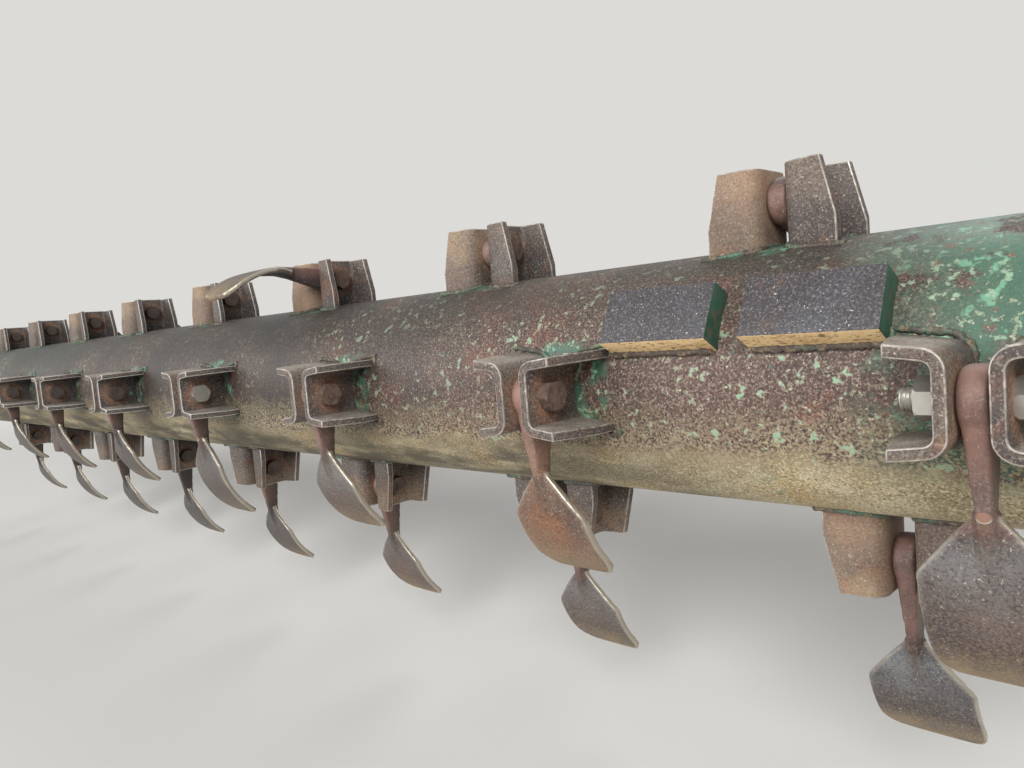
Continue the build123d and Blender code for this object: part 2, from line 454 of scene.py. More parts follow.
@dataclass(frozen=True)
class WornTubePaint:
    """Green machine paint worn through to primer and rust, with mud dried on the underside."""

    rust: str = "#674f46"
    dark_rust: str = "#453733"
    red_rust: str = "#84503e"
    grain_light: str = "#a89a8b"
    grain_dark: str = "#2a211f"
    # Grey-green film on the tube's top, darkened further as painted shade.
    film_and_shade: str = "#2c302b"
    # Painted shade laid over the middle of the tube.
    darkened: str = "#1c1a19"
    # Faded grey-green paint at the far end, darkened as painted shade.
    faded_paint_and_shade: str = "#33423f"
    green: str = "#4a735f"
    deep_green: str = "#345646"
    chip: str = "#86c19f"
    speck: str = "#d6cab0"
    mud: str = "#bfb08b"
    mud_shade: str = "#86754f"
    mud_light: str = "#d8ccab"
    mud_gold: str = "#b5965c"
    dark_streak: str = "#4a4336"
    mud_grain_dark: str = "#5f523d"
    mud_grain_light: str = "#ece2c6"
    bright_end: float = -0.2
    low_side: tuple[float, float, float] = (0.0, -0.2924, -0.9563)

    def material(self) -> bpy.types.Material:
        """Lay the finish.

        Returns:
            The finish as a material.
        """
        s = Surface("paint_worn_to_rust", self.rust, 0.6)
        x = s.along((1.0, 0.0, 0.0))
        depth = s.along(self.low_side)
        # Large soft patches: bare rust and red primer showing through.
        s.coat(s.spots(60, 0.5, 0.12), self.dark_rust, strength=0.7)
        s.coat(s.spots(34, 0.26, 0.08, seed=3.1), self.red_rust, strength=0.7)
        # Grey-green film on top, darkened as painted shade, and a smoother stretch along the middle
        # darkened as painted shade.
        height = s.minus(depth)
        top = s.band(height, 0.03, 0.085, 0.02, 50)
        s.coat(s.both(top, s.spots(44, 0.8, 0.15, seed=4.4)), self.film_and_shade, 0.7, strength=0.78)
        away = s.minus(x)
        middle = s.both(s.band(away, 0.5, 0.86, 0.1, 60), s.spots(90, 0.88, 0.3, seed=40.0))
        s.coat(middle, self.darkened, 0.45, strength=0.88)
        # Towards the far end, faded paint, darkened as painted shade.
        far = s.both(s.band(away, 1.7, 2.3, 0.3, 150), s.spots(70, 0.62, 0.12, 8.0, seed=41.0))
        s.coat(far, self.faded_paint_and_shade, 0.6, strength=0.7)
        s.coat(s.both(far, s.spots(12, 0.3, 0.03, 8.0, seed=43.0)), self.green, 0.5, strength=0.6)
        # Grain of scale and grit, fainter under the top film and the painted shade of the middle.
        bare = s.either(middle, s.both(top, 0.75))
        gritty = s.spared(bare, 0.75)
        light = s.both(gritty, s.spots(1.0, 0.36, 0.04, 2.0, seed=18.0))
        s.coat(light, self.grain_light, strength=0.52)
        s.coat(s.spots(1.1, 0.38, 0.04, 2.0, seed=19.0), self.grain_dark, strength=0.72)
        self.paint(s, x, s.spared(bare))
        self.dirt(s, depth, away)
        s.roughen(2.2, 0.45)
        s.roughen(0.9, 0.15)
        return s.finish()

    def paint(self, s: Surface, x: bpy.types.NodeSocket, chipped: bpy.types.NodeSocket) -> None:
        """Lay what is left of the paint: ragged sheets at the ends and by the lugs, else chips.

        Args:
            s: The surface.
            x: Place along the tube.
            chipped: Where chips of paint are left.
        """
        near = s.band(x, self.bright_end - 0.05, self.bright_end + 0.07, 0.05, 50)
        sheltered = s.band(s.stored("shelter"), 0.42, 0.8, 0.3, 12)
        held = s.either(near, sheltered)
        sheets = s.both(near, s.spots(20, 0.6, 0.03, 9.0, seed=8.0))
        ragged = s.both(sheltered, s.spots(9, 0.46, 0.03, 9.0, seed=10.0))
        held_paint = s.either(sheets, ragged)
        s.coat(held_paint, self.green, 0.42, height_mm=0.25, strength=0.88)
        shaded = s.both(held_paint, s.spots(30, 0.45, 0.1, seed=9.3))
        s.coat(shaded, self.deep_green, strength=0.7)
        s.coat(s.both(held_paint, s.spots(6, 0.24, 0.03, 6.0, seed=9.9)), self.chip, strength=0.7)
        scratched = s.both(held_paint, s.spots(4, 0.24, 0.02, 8.0, (1.0, 1.0, 0.5), seed=11.2))
        s.coat(scratched, self.red_rust, 0.7, strength=0.8)
        grow = s.at_least(0.7, held)
        spared = s.both(s.spots(60, 0.75, 0.06, seed=15.0), grow)
        crowd = s.both(spared, chipped)
        rim = s.both(s.spots(4.2, 0.27, 0.012, 7.0, seed=12.0), crowd)
        chips = s.both(s.spots(4.2, 0.21, 0.012, 7.0, seed=12.0), crowd)
        s.coat(rim, self.speck, 0.7, strength=0.6)
        s.coat(chips, self.chip, 0.5, height_mm=0.25, strength=0.95)
        flecks = s.both(chipped, s.spots(2.4, 0.1, 0.02, 5.0, seed=22.0))
        s.coat(flecks, self.green, 0.5, strength=0.9)
        pale = s.both(chipped, s.spots(1.2, 0.1, 0.02, 3.0, seed=20.0))
        s.coat(pale, self.speck, 0.8, strength=0.85)

    def dirt(self, s: Surface, depth: bpy.types.NodeSocket, away: bpy.types.NodeSocket) -> None:
        """Lay the mud on the low side, thinning out in grains above its edge.

        Args:
            s: The surface.
            depth: How far a point lies below the shaft, the way dirt has settled.
            away: How far it lies from the right end.
        """
        low = s.band(depth, 0.058, 0.08, 0.022, 40)
        scatter = s.both(s.band(depth, 0.02, 0.075, 0.03, 30), 0.9)
        grains = s.both(scatter, s.spots(1.3, 0.5, 0.04, 4.0, seed=25.0))
        s.coat(s.either(low, grains), self.mud, 0.93, height_mm=0.4, strength=0.92)
        s.coat(s.both(low, s.spots(48, 0.5, 0.12, 7.0, seed=26.0)), self.mud_shade, strength=0.8)
        s.coat(s.both(low, s.spots(34, 0.3, 0.1, 7.0, seed=27.0)), self.mud_gold, strength=0.7)
        s.coat(s.both(low, s.spots(16, 0.32, 0.1, 7.0, seed=28.0)), self.mud_light, strength=0.65)
        s.coat(s.both(low, s.spots(1.1, 0.38, 0.05, 2.0, seed=30.0)), self.mud_grain_dark, strength=0.65)
        s.coat(s.both(low, s.spots(1.0, 0.34, 0.05, 2.0, seed=31.0)), self.mud_grain_light, strength=0.6)
        s.coat(s.both(low, s.spots(9, 0.1, 0.04, 5.0, seed=33.0)), self.green, strength=0.5)
        # Further from the right end the mud is darker, in streaks along the tube.
        further_mud = s.both(low, s.band(away, 0.24, 0.6, 0.1, 60))
        streaks = s.spots(15, 0.64, 0.12, 5.0, (0.3, 1.0, 1.0), seed=35.0)
        s.coat(s.both(further_mud, streaks), self.dark_streak, 0.6, strength=0.88)


@dataclass(frozen=True)
class LugSteel:
    """Hot-rolled plate, bent and welded on, once painted green and now brown with rust and dirt."""

    steel: str = "#5d524e"
    brown: str = "#3f3635"
    tan: str = "#b1997b"
    rust: str = "#85573f"
    green: str = "#6aa488"
    light: str = "#a09488"
    dark: str = "#2e2726"
    shade: str = "#25272b"
    mottle: str = "#92614f"
    stain: str = "#a87350"
    pale: str = "#c8bfb1"
    speck: str = "#cfc5b4"
    paint_reach: float = 0.134

    def material(self) -> bpy.types.Material:
        """Lay the finish.

        Returns:
            The finish as a material.
        """
        s = Surface("rolled_plate_weathered", self.steel, 0.5)
        inside = s.stored("inside")
        dust = s.both(s.stored("dust"), s.spared(inside, 0.7))
        # Brown scale in soft patches, with red rust breaking through.
        s.coat(s.spots(26, 0.5, 0.14), self.brown, 0.6, strength=0.8)
        s.coat(s.spots(13, 0.22, 0.07, seed=4.0), self.rust, 0.8, strength=0.6)
        # Past the first few lugs the steel is darkened as painted shade, above all inside the channels.
        away = s.far_off(0.7, 1.4)
        shaded = s.both(away, s.at_least(0.3, inside))
        s.coat(shaded, self.shade, 0.5, strength=0.7)
        # Rust runs out round the bolt, and pale dust settles on what faces up.
        from_pin = s.length(s.stored("from_pin", "Vector"))
        stain = s.band(s.minus(from_pin), -0.026, -0.017, 0.005, 12)
        s.coat(s.both(stain, s.spots(9, 0.7, 0.2, seed=21.0)), self.stain, 0.85, strength=0.6)
        facing_up = s.band(s.along(UP, s.normal), 0.75, 0.98, 0.0, 1)
        settled = s.both(facing_up, s.spots(14, 0.66, 0.2, seed=22.0))
        s.coat(settled, self.pale, 0.9, strength=0.58)
        # Paint holds in the corner by the weld.
        root = s.band(s.minus(s.from_shaft()), -self.paint_reach, -0.117, 0.03, 14)
        worn = s.both(root, s.spots(7, 0.13, 0.02, 8.0, seed=7.0))
        s.coat(worn, self.green, 0.5, height_mm=0.15, strength=0.85)
        # Dry dust lies thickest towards the tips, and all over the plates that face the ground.
        high = s.band(s.from_shaft(), 0.136, 0.158, 0.02, 20)
        caked = s.band(dust, 0.7, 1.0, 0.0, 20)
        lies = s.both(dust, s.either(s.at_least(0.1, high), caked))
        s.coat(s.both(lies, s.spots(30, 0.74, 0.2, seed=11.0)), self.tan, 0.9, strength=0.92)
        s.coat(s.both(caked, s.spots(24, 0.46, 0.16, 5.0, seed=12.0)), self.mottle, strength=0.6)
        bare = s.spared(caked, 0.7)
        pits = s.both(bare, s.spots(0.9, 0.36, 0.05, 2.0, seed=13.0))
        s.coat(s.spots(0.9, 0.32, 0.05, 2.0, seed=9.0), self.light, 0.65, strength=0.5)
        s.coat(pits, self.dark, 0.65, strength=0.6)
        s.coat(s.spots(1.1, 0.06, 0.02, 2.0, seed=14.0), self.speck, 0.8, strength=0.7)
        s.roughen(1.8, 0.25)
        s.roughen(0.8, 0.08)
        return s.finish()


@dataclass(frozen=True)
class WornEdgeSteel:
    """Edges of plate worn by what passes them, grey on the crests and brown in the dips."""

    steel: str = "#a39a90"
    brown: str = "#62564f"
    bright: str = "#cbc2b7"
    # Brighter edges further from the right end: partly more rubbed, partly a painted sheen.
    rubbed_and_sheen: str = "#d6d4cc"

    def material(self) -> bpy.types.Material:
        """Lay the finish.

        Returns:
            The finish as a material.
        """
        s = Surface("plate_edge_rubbed", self.steel, 0.42, 0.35)
        s.coat(s.spots(12, 0.45, 0.12), self.brown, 0.6, 0.0, strength=0.85)
        s.coat(s.spots(3, 0.36, 0.08, 3.0, seed=3.0), self.bright, 0.4, strength=0.7)
        # Past the right end the edges are brighter: partly more rubbed, partly a painted sheen.
        away = s.far_off(0.6, 1.3)
        s.coat(s.both(away, s.spots(20, 0.75, 0.15, seed=6.0)), self.rubbed_and_sheen, 0.35, strength=0.62)
        s.roughen(1.2, 0.1)
        return s.finish()


@dataclass(frozen=True)
class WeldMetal:
    """Fillet weld, rusted brown, with green paint left between its ripples."""

    painted: float = 0.42
    steel: str = "#564a43"
    green: str = "#54806a"
    dust: str = "#97866a"
    pits: str = "#2f2724"

    def material(self) -> bpy.types.Material:
        """Lay the finish.

        Returns:
            The finish as a material.
        """
        s = Surface("weld_bead_rusted", self.steel, 0.6)
        s.coat(s.spots(14, self.painted, 0.08), self.green, 0.5, strength=0.8)
        s.coat(s.spots(3, 0.34, 0.05, seed=3.0), self.dust, 0.9, strength=0.7)
        s.coat(s.spots(1.0, 0.36, 0.05, 2.0, seed=6.0), self.pits, 0.7, strength=0.6)
        s.roughen(1.0, 0.15)
        return s.finish()


@dataclass(frozen=True)
class ForgedFlailSteel:
    """Forged steel: red-brown at the eye, dark on the paddle with burnish and a painted sheen on its
    shoulders, bright at its edge.
    """

    brown: str = "#4f484a"
    dark: str = "#2d292b"
    red: str = "#9a7468"
    rib: str = "#554238"
    warm: str = "#98755a"
    darkened: str = "#2f2f2f"
    orange: str = "#96603a"
    # Grey of the shoulders' burnish, lightened as a painted sheen.
    grey: str = "#9a9fa2"
    scar: str = "#94705f"
    polished: str = "#bfb6a6"
    tan: str = "#a28d6c"
    speck: str = "#c9c2b6"
    grain_light: str = "#958c82"
    grain_dark: str = "#2a2423"

    def material(self) -> bpy.types.Material:
        """Lay the finish.

        Returns:
            The finish as a material.
        """
        s = Surface("forged_steel_worn", self.brown, 0.45, 0.25)
        reach = s.stored("reach")
        front = s.stored("front")
        middle = s.stored("middle")
        tone = s.stored("tone")
        s.coat(s.spots(34, 0.5, 0.18), self.dark, 0.42, strength=0.75)
        cool = s.spared(tone)
        s.coat(s.both(tone, s.spots(30, 0.7, 0.2, seed=1.4)), self.warm, 0.6, 0.1, strength=0.85)
        # Shoulders worn to a burnish where the stream of chips strikes first, with a painted sheen over it.
        rising = s.band(reach, 0.4, 0.5, 0.05, 18)
        falling = s.band(s.minus(reach), -0.8, -0.56, 0.06, 24)
        burnish_and_sheen = s.both(s.both(rising, falling), s.spots(30, 0.7, 0.2, seed=2.6))
        s.coat(s.both(burnish_and_sheen, cool), self.grey, 0.3, 0.5, strength=0.66)
        # Rust bloom in the middle of some paddles, and the rib that runs down each.
        bloom = s.both(s.both(middle, tone), s.spots(16, 0.8, 0.25, seed=6.0))
        s.coat(bloom, self.orange, 0.7, 0.0, strength=0.85)
        s.coat(s.stored("rib"), self.rib, 0.6, 0.0, strength=0.8)
        s.coat(s.spots(0.9, 0.32, 0.05, 2.0, seed=2.0), self.grain_light, 0.5, strength=0.38)
        s.coat(s.spots(0.9, 0.34, 0.05, 2.0, seed=3.3), self.grain_dark, 0.55, strength=0.5)
        s.coat(s.spots(1.0, 0.07, 0.02, 2.0, seed=5.1), self.speck, 0.7, 0.0, strength=0.7)
        eye = s.band(s.minus(reach), -0.44, -0.3, 0.06, 14)
        red = s.both(s.both(eye, front), s.spots(20, 0.75, 0.2, seed=8.0))
        s.coat(red, self.red, 0.6, 0.0, strength=0.85)
        tip = s.band(reach, 0.8, 0.97, 0.06, 14)
        s.coat(s.both(tip, s.spots(14, 0.66, 0.16, seed=9.0)), self.tan, 0.8, 0.0, strength=0.8)
        low = s.band(reach, 0.66, 0.9, 0.06, 14)
        grain = s.both(low, s.spots(1.2, 0.3, 0.05, 2.0, seed=12.0))
        s.coat(grain, self.tan, 0.8, 0.0, strength=0.6)
        # Those further from the right end are darker grey.
        away = s.far_off(0.75, 1.5)
        film = s.both(away, s.spots(40, 0.85, 0.2, seed=14.0))
        s.coat(film, self.darkened, 0.38, 0.2, strength=0.76)
        # The shoulders' edges are polished too, where the burnish and its painted sheen lie.
        bevel = s.both(s.band(s.stored("edge"), 0.0, 0.7, 0.25, 9), burnish_and_sheen)
        s.coat(bevel, self.polished, 0.3, 0.6, strength=0.6)
        s.coat(s.band(s.stored("edge"), 0.6, 0.95, 0.25, 9), self.polished, 0.3, 0.7, strength=0.85)
        self.gate_scar(s)
        s.roughen(1.8, 0.16)
        s.roughen(7.0, 0.35, 2.0)
        return s.finish()

    def gate_scar(self, s: Surface) -> None:
        """Lay the round mark the forging die left at the neck, with a bright rim at its foot.

        Args:
            s: The surface.
        """
        place = s.stored("from_scar", "Vector")
        outside = s.length(place)
        lower = s.along((0.0, 1.0, 0.0), place)
        disc = s.band(s.minus(outside), -1.05, -0.95, 0.02, 2)
        ring = s.both(disc, s.band(outside, 0.7, 0.85, 0.05, 2))
        rim = s.both(ring, s.band(lower, 0.0, 0.5, 0.05, 2))
        s.coat(disc, self.scar, 0.6, 0.0, height_mm=0.5, strength=0.9)
        s.coat(rim, self.polished, 0.4, 0.3, strength=0.8)


@dataclass(frozen=True)
class BoltSteel:
    """Steel of a flail bolt and nut: zinc-plated and bright when new, dull brown with rust when old."""

    age: Age = Age.WORN
    zinc: str = "#c4c2ba"
    dulled: str = "#9a968c"
    first_rust: str = "#7c5a42"
    worn: str = "#6f5c50"
    dark: str = "#433632"
    rust: str = "#8b6b56"
    darkened: str = "#2c2a2b"

    def material(self) -> bpy.types.Material:
        """Lay the finish of the bolt's age.

        Returns:
            The finish as a material.
        """
        return self.plated() if self.age is Age.NEW else self.rusted()

    def plated(self) -> bpy.types.Material:
        """Lay zinc plating that has just begun to rust.

        Returns:
            The finish as a material.
        """
        s = Surface("zinc_plated_steel", self.zinc, 0.34, 0.8)
        s.coat(s.spots(9, 0.3, 0.1), self.dulled, 0.5, strength=0.6)
        s.coat(s.spots(5, 0.12, 0.05, seed=4.0), self.first_rust, 0.8, 0.0, strength=0.5)
        s.roughen(1.0, 0.04)
        return s.finish()

    def rusted(self) -> bpy.types.Material:
        """Lay old rust, darker on the bolts further from the right end.

        Returns:
            The finish as a material.
        """
        s = Surface("bolt_steel_rusted", self.worn, 0.72)
        s.coat(s.spots(6, 0.45, 0.1), self.dark, 0.75, strength=0.8)
        s.coat(s.spots(3, 0.3, 0.06, seed=5.0), self.rust, 0.85, strength=0.6)
        s.coat(s.far_off(0.8, 1.5), self.darkened, 0.5, strength=0.66)
        s.roughen(1.0, 0.1)
        return s.finish()


class BlockSide(Enum):
    """A side of a balance block, by what covers it."""

    FACE = "face"
    END = "end"
    LOW = "low"


@dataclass(frozen=True)
class BlockSteel:
    """Flat bar of the balance blocks: dark face with pale specks, green ends, dust on the low side made
    paler as painted light.
    """

    side: BlockSide = BlockSide.FACE
    steel: str = "#403c3e"
    brown: str = "#3c3738"
    blue_grey: str = "#5a5e66"
    grain_light: str = "#857f80"
    grain_dark: str = "#252021"
    speck: str = "#d5d0c8"
    rust: str = "#6a5244"
    green: str = "#365c49"
    deep_green: str = "#2a4538"
    bared: str = "#6b5547"
    # The low side's dust is laid paler, as painted light from below.
    dust: str = "#efcb95"
    ochre: str = "#b58d5a"
    dust_light: str = "#ecd4a8"
    dust_dark: str = "#5b4230"

    def material(self) -> bpy.types.Material:
        """Lay the finish of the block's side.

        Returns:
            The finish as a material.
        """
        looks = {BlockSide.FACE: self.face, BlockSide.END: self.end, BlockSide.LOW: self.low_side}
        return looks[self.side]()

    def face(self) -> bpy.types.Material:
        """Lay the dark scale of the face, peppered with light and dark grains.

        Returns:
            The finish as a material.
        """
        s = Surface("bar_face_weathered", self.steel, 0.5)
        s.coat(s.spots(40, 0.45, 0.16), self.brown, 0.6, strength=0.7)
        s.coat(s.spots(30, 0.3, 0.14, seed=2.0), self.blue_grey, 0.5, strength=0.55)
        s.coat(s.spots(0.9, 0.34, 0.05, 2.0, seed=3.0), self.grain_light, 0.6, strength=0.5)
        s.coat(s.spots(0.9, 0.36, 0.05, 2.0, seed=4.0), self.grain_dark, 0.6, strength=0.6)
        s.coat(s.spots(1.0, 0.045, 0.02, 2.0, seed=5.5), self.speck, 0.7, strength=0.8)
        s.coat(s.spots(12, 0.1, 0.05, seed=7.0), self.rust, 0.7, strength=0.5)
        s.roughen(1.5, 0.3)
        return s.finish()

    def end(self) -> bpy.types.Material:
        """Lay the paint that is left on the ends.

        Returns:
            The finish as a material.
        """
        s = Surface("bar_end_painted", self.green, 0.5)
        s.coat(s.spots(14, 0.45, 0.08), self.deep_green, 0.6, strength=0.7)
        s.coat(s.spots(4, 0.25, 0.04, 4.0, seed=5.0), self.bared, 0.7, strength=0.7)
        s.roughen(1.6, 0.22)
        return s.finish()

    def low_side(self) -> bpy.types.Material:
        """Lay the crusted dust of the low side, made paler as painted light from below.

        Returns:
            The finish as a material.
        """
        s = Surface("bar_side_dust_painted_light", self.dust, 0.95)
        s.coat(s.spots(12, 0.4, 0.1), self.ochre, strength=0.6)
        s.coat(s.spots(1.2, 0.38, 0.05, 3.0, seed=5.0), self.dust_light, strength=0.75)
        s.coat(s.spots(1.3, 0.27, 0.04, 3.0, (0.4, 1.0, 1.0), seed=8.0), self.dust_dark, strength=0.8)
        s.roughen(1.6, 0.5)
        return s.finish()


@dataclass(frozen=True)
class TurnedSteel:
    """Turned shaft steel, grey and dull, finely roughened, with patches of light rust."""

    steel: str = "#8b8782"
    dulled: str = "#5c544e"
    rust: str = "#6e4b36"

    def material(self) -> bpy.types.Material:
        """Lay the finish.

        Returns:
            The finish as a material.
        """
        s = Surface("turned_steel", self.steel, 0.38, 0.8)
        s.coat(s.spots(20, 0.4, 0.12), self.dulled, 0.6, 0.3, strength=0.7)
        s.coat(s.spots(6, 0.2, 0.05, seed=4.0), self.rust, 0.85, 0.0, strength=0.7)
        s.roughen(0.8, 0.03)
        return s.finish()


@dataclass(frozen=True)
class HousingPaint:
    """Cast iron under the machine's green paint: a soft cast skin, chipped to rust and dusty."""

    green: str = "#2f6b4f"
    faded: str = "#3c7a5b"
    rust: str = "#553c33"
    scuff: str = "#9db89f"
    dust: str = "#8c7b5a"

    def material(self) -> bpy.types.Material:
        """Lay the finish.

        Returns:
            The finish as a material.
        """
        s = Surface("cast_iron_painted", self.green, 0.45)
        s.coat(s.spots(26, 0.4, 0.12), self.faded, strength=0.6)
        s.coat(s.spots(11, 0.26, 0.03, 6.0, seed=3.0), self.rust, 0.8, strength=0.9, height_mm=-0.2)
        s.coat(s.spots(3, 0.12, 0.04, seed=6.0), self.scuff, 0.6, strength=0.6)
        s.coat(s.spots(40, 0.25, 0.12, seed=9.0), self.dust, 0.9, strength=0.5)
        s.roughen(2.6, 0.3)
        return s.finish()


def new_piece(name: str, shape: bmesh.types.BMesh | bpy.types.Mesh) -> bpy.types.Object:
    """Make an object at the origin from a finished shape.

    Args:
        name: Name of the piece.
        shape: The shape, in place, in metres. A bmesh is freed.

    Returns:
        The object, linked to the scene.
    """
    mesh = shape
    if isinstance(shape, bmesh.types.BMesh):
        mesh = bpy.data.meshes.new(name)
        bmesh.ops.recalc_face_normals(shape, faces=shape.faces)
        shape.to_mesh(mesh)
        shape.free()
    piece = bpy.data.objects.new(name, mesh)
    bpy.context.scene.collection.objects.link(piece)
    return piece


def bar_along_x(
    shape: bmesh.types.BMesh, radius: float, start: float, end: float, segments: int = 48
) -> list[bmesh.types.BMVert]:
    """Add a closed round bar along X and return its vertices.

    Args:
        shape: The bmesh that it is added to.
        radius: Radius of the bar.
        start: Place of its lower end.
        end: Place of its upper end.
        segments: How many sides it has.

    Returns:
        The new vertices.
    """
    turn = Matrix.Translation(((start + end) / 2, 0.0, 0.0)) @ Matrix.Rotation(math.pi / 2, 4, "Y")
    made = bmesh.ops.create_cone(
        shape,
        cap_ends=True,
        segments=segments,
        radius1=radius,
        radius2=radius,
        depth=abs(end - start),
        matrix=turn,
    )
    return made["verts"]


def turned_along_x(outline: list[tuple[float, float]], segments: int = 96) -> bmesh.types.BMesh:
    """Spin an outline round the shaft's centre line.

    Args:
        outline: Places along X with their radii, as an open line.
        segments: How many steps the turn has.

    Returns:
        The turned shape.
    """
    shape = bmesh.new()
    verts = [shape.verts.new((x, 0.0, radius)) for x, radius in outline]
    edges = [shape.edges.new(pair) for pair in zip(verts, verts[1:])]
    bmesh.ops.spin(
        shape,
        geom=verts + edges,
        cent=(0.0, 0.0, 0.0),
        axis=(1.0, 0.0, 0.0),
        angle=math.tau,
        steps=segments,
        use_merge=True,
        use_duplicate=False,
    )
    bmesh.ops.remove_doubles(shape, verts=shape.verts, dist=1e-6)
    return shape


def soften(shape: bmesh.types.BMesh, width: float, least_turn: float = 0.5, slot: int = -1) -> None:
    """Round the sharp edges of a shape.

    Args:
        shape: The shape.
        width: Width of the rounding.
        least_turn: Least angle between faces, in radians, that is rounded.
        slot: Material slot of the rounding, or -1 for that of its neighbours.
    """
    sharp = [e for e in shape.edges if len(e.link_faces) == 2 and e.calc_face_angle() > least_turn]
    bmesh.ops.bevel(
        shape,
        geom=sharp,
        offset=width,
        segments=2,
        profile=0.5,
        affect="EDGES",
        material=slot,
        clamp_overlap=True,
    )


def cut_away(piece: bpy.types.Object, drill: bmesh.types.BMesh) -> None:
    """Take a shape out of a piece, after what its other modifiers do.

    Args:
        piece: The piece, whose mesh is replaced and whose modifiers are applied.
        drill: What is taken out. It is freed.
    """
    cutter = new_piece(piece.name + "_cut", drill)
    cut = piece.modifiers.new("cut", "BOOLEAN")
    cut.operation = "DIFFERENCE"
    cut.object = cutter
    ready = piece.evaluated_get(bpy.context.evaluated_depsgraph_get())
    mesh = bpy.data.meshes.new_from_object(ready)
    piece.modifiers.clear()
    piece.data = mesh
    bpy.data.objects.remove(cutter)


def bead_mesh(
    name: str, runs: list[list[tuple[Vector, float]]], radius: float, resolution: int
) -> bpy.types.Mesh:
    """Turn runs of weld bead into one mesh.

    Args:
        name: Name of the mesh.
        runs: The beads, each as its points with how fat it is there.
        radius: Radius of an even bead.
        resolution: How round its section is.

    Returns:
        The mesh, without a material.
    """
    curve = bpy.data.curves.new(name, "CURVE")
    curve.dimensions = "3D"
    curve.bevel_depth = radius
    curve.bevel_resolution = resolution
    curve.use_fill_caps = True
    for run in runs:
        spline = curve.splines.new("POLY")
        spline.points.add(len(run) - 1)
        for point, (place, fat) in zip(spline.points, run):
            point.co = (*place, 1.0)
            point.radius = fat
    drawn = bpy.data.objects.new(name, curve)
    bpy.context.scene.collection.objects.link(drawn)
    ready = drawn.evaluated_get(bpy.context.evaluated_depsgraph_get())
    mesh = bpy.data.meshes.new_from_object(ready)
    bpy.data.objects.remove(drawn)
    mesh.materials.clear()
    return mesh


def smooth(piece: bpy.types.Object, angle: float = 0.6) -> None:
    """Shade a piece smooth apart from its edges sharper than an angle, in radians."""
    piece.data.polygons.foreach_set("use_smooth", [True] * len(piece.data.polygons))
    piece.data.set_sharp_from_angle(angle=angle)


@dataclass
class Layout:
    """Where the rows and tracks lie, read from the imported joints."""

    first_track: float
    track: float
    pin_radius: float
    clocks: dict[Row, float]
    per_row: int = 8
    seized: int = 11
    renewed: tuple[int, ...] = (1, 13)
    lying: float = math.radians(-132.890625)
    seized_clock: float = math.radians(70.0)

    @classmethod
    def from_joints(cls, joints: list[dict]) -> Layout:
        """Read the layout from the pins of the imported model.

        Args:
            joints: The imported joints.

        Returns:
            The layout.
        """
        pins = {j["child"]: Vector(j["pos_m"]) for j in joints if j["child"].startswith("flail_")}
        first = pins["flail_01"]
        step = first.x - pins["flail_02"].x
        radius = math.hypot(first.y, first.z)
        clocks = {}
        for row in Row:
            pin = pins[f"flail_{row.value + 1:02d}"]
            clocks[row] = math.atan2(-pin.y, pin.z)
        return cls(first.x, step, radius, clocks)

    def tracks(self, row: Row) -> list[int]:
        """Number the tracks of one row, counted from the right, starting at one."""
        return [row.value + len(Row) * n + 1 for n in range(self.per_row)]

    def station(self, row: Row, track: int) -> Matrix:
        """Find the place of a flail's lugs on the tube.

        Args:
            row: Its row.
            track: Its track.

        Returns:
            The matrix that brings a shape drawn upright over the shaft there.
        """
        x = self.first_track - self.track * (track - 1)
        return Matrix.Rotation(self.clocks[row], 4, "X") @ Matrix.Translation((x, 0.0, 0.0))

    def pin(self, row: Row, track: int) -> Matrix:
        """Return the matrix of a flail's pin, pointing straight out."""
        return self.station(row, track) @ Matrix.Translation((0.0, 0.0, self.pin_radius))

    def age(self, track: int) -> Age:
        """Return how old the flail and bolt of a track are."""
        return Age.NEW if track in self.renewed else Age.WORN

    def flail(self, row: Row, track: int, hanging: float) -> Matrix:
        """Find where a flail is parked.

        Args:
            row: Its row.
            track: Its track.
            hanging: Where it points when it hangs free, from the top about the shaft.

        Returns:
            The matrix from its own frame, upright on its pin.
        """
        points = hanging
        if track == self.seized:
            points = self.seized_clock
        elif row is Row.TOP:
            points = self.lying
        return self.pin(row, track) @ Matrix.Rotation(points - self.clocks[row], 4, "X")


@dataclass(frozen=True)
class Blade:
    """What differs between a new flail and a worn one."""

    curve_start: float
    tip_reach: float
    hanging: float


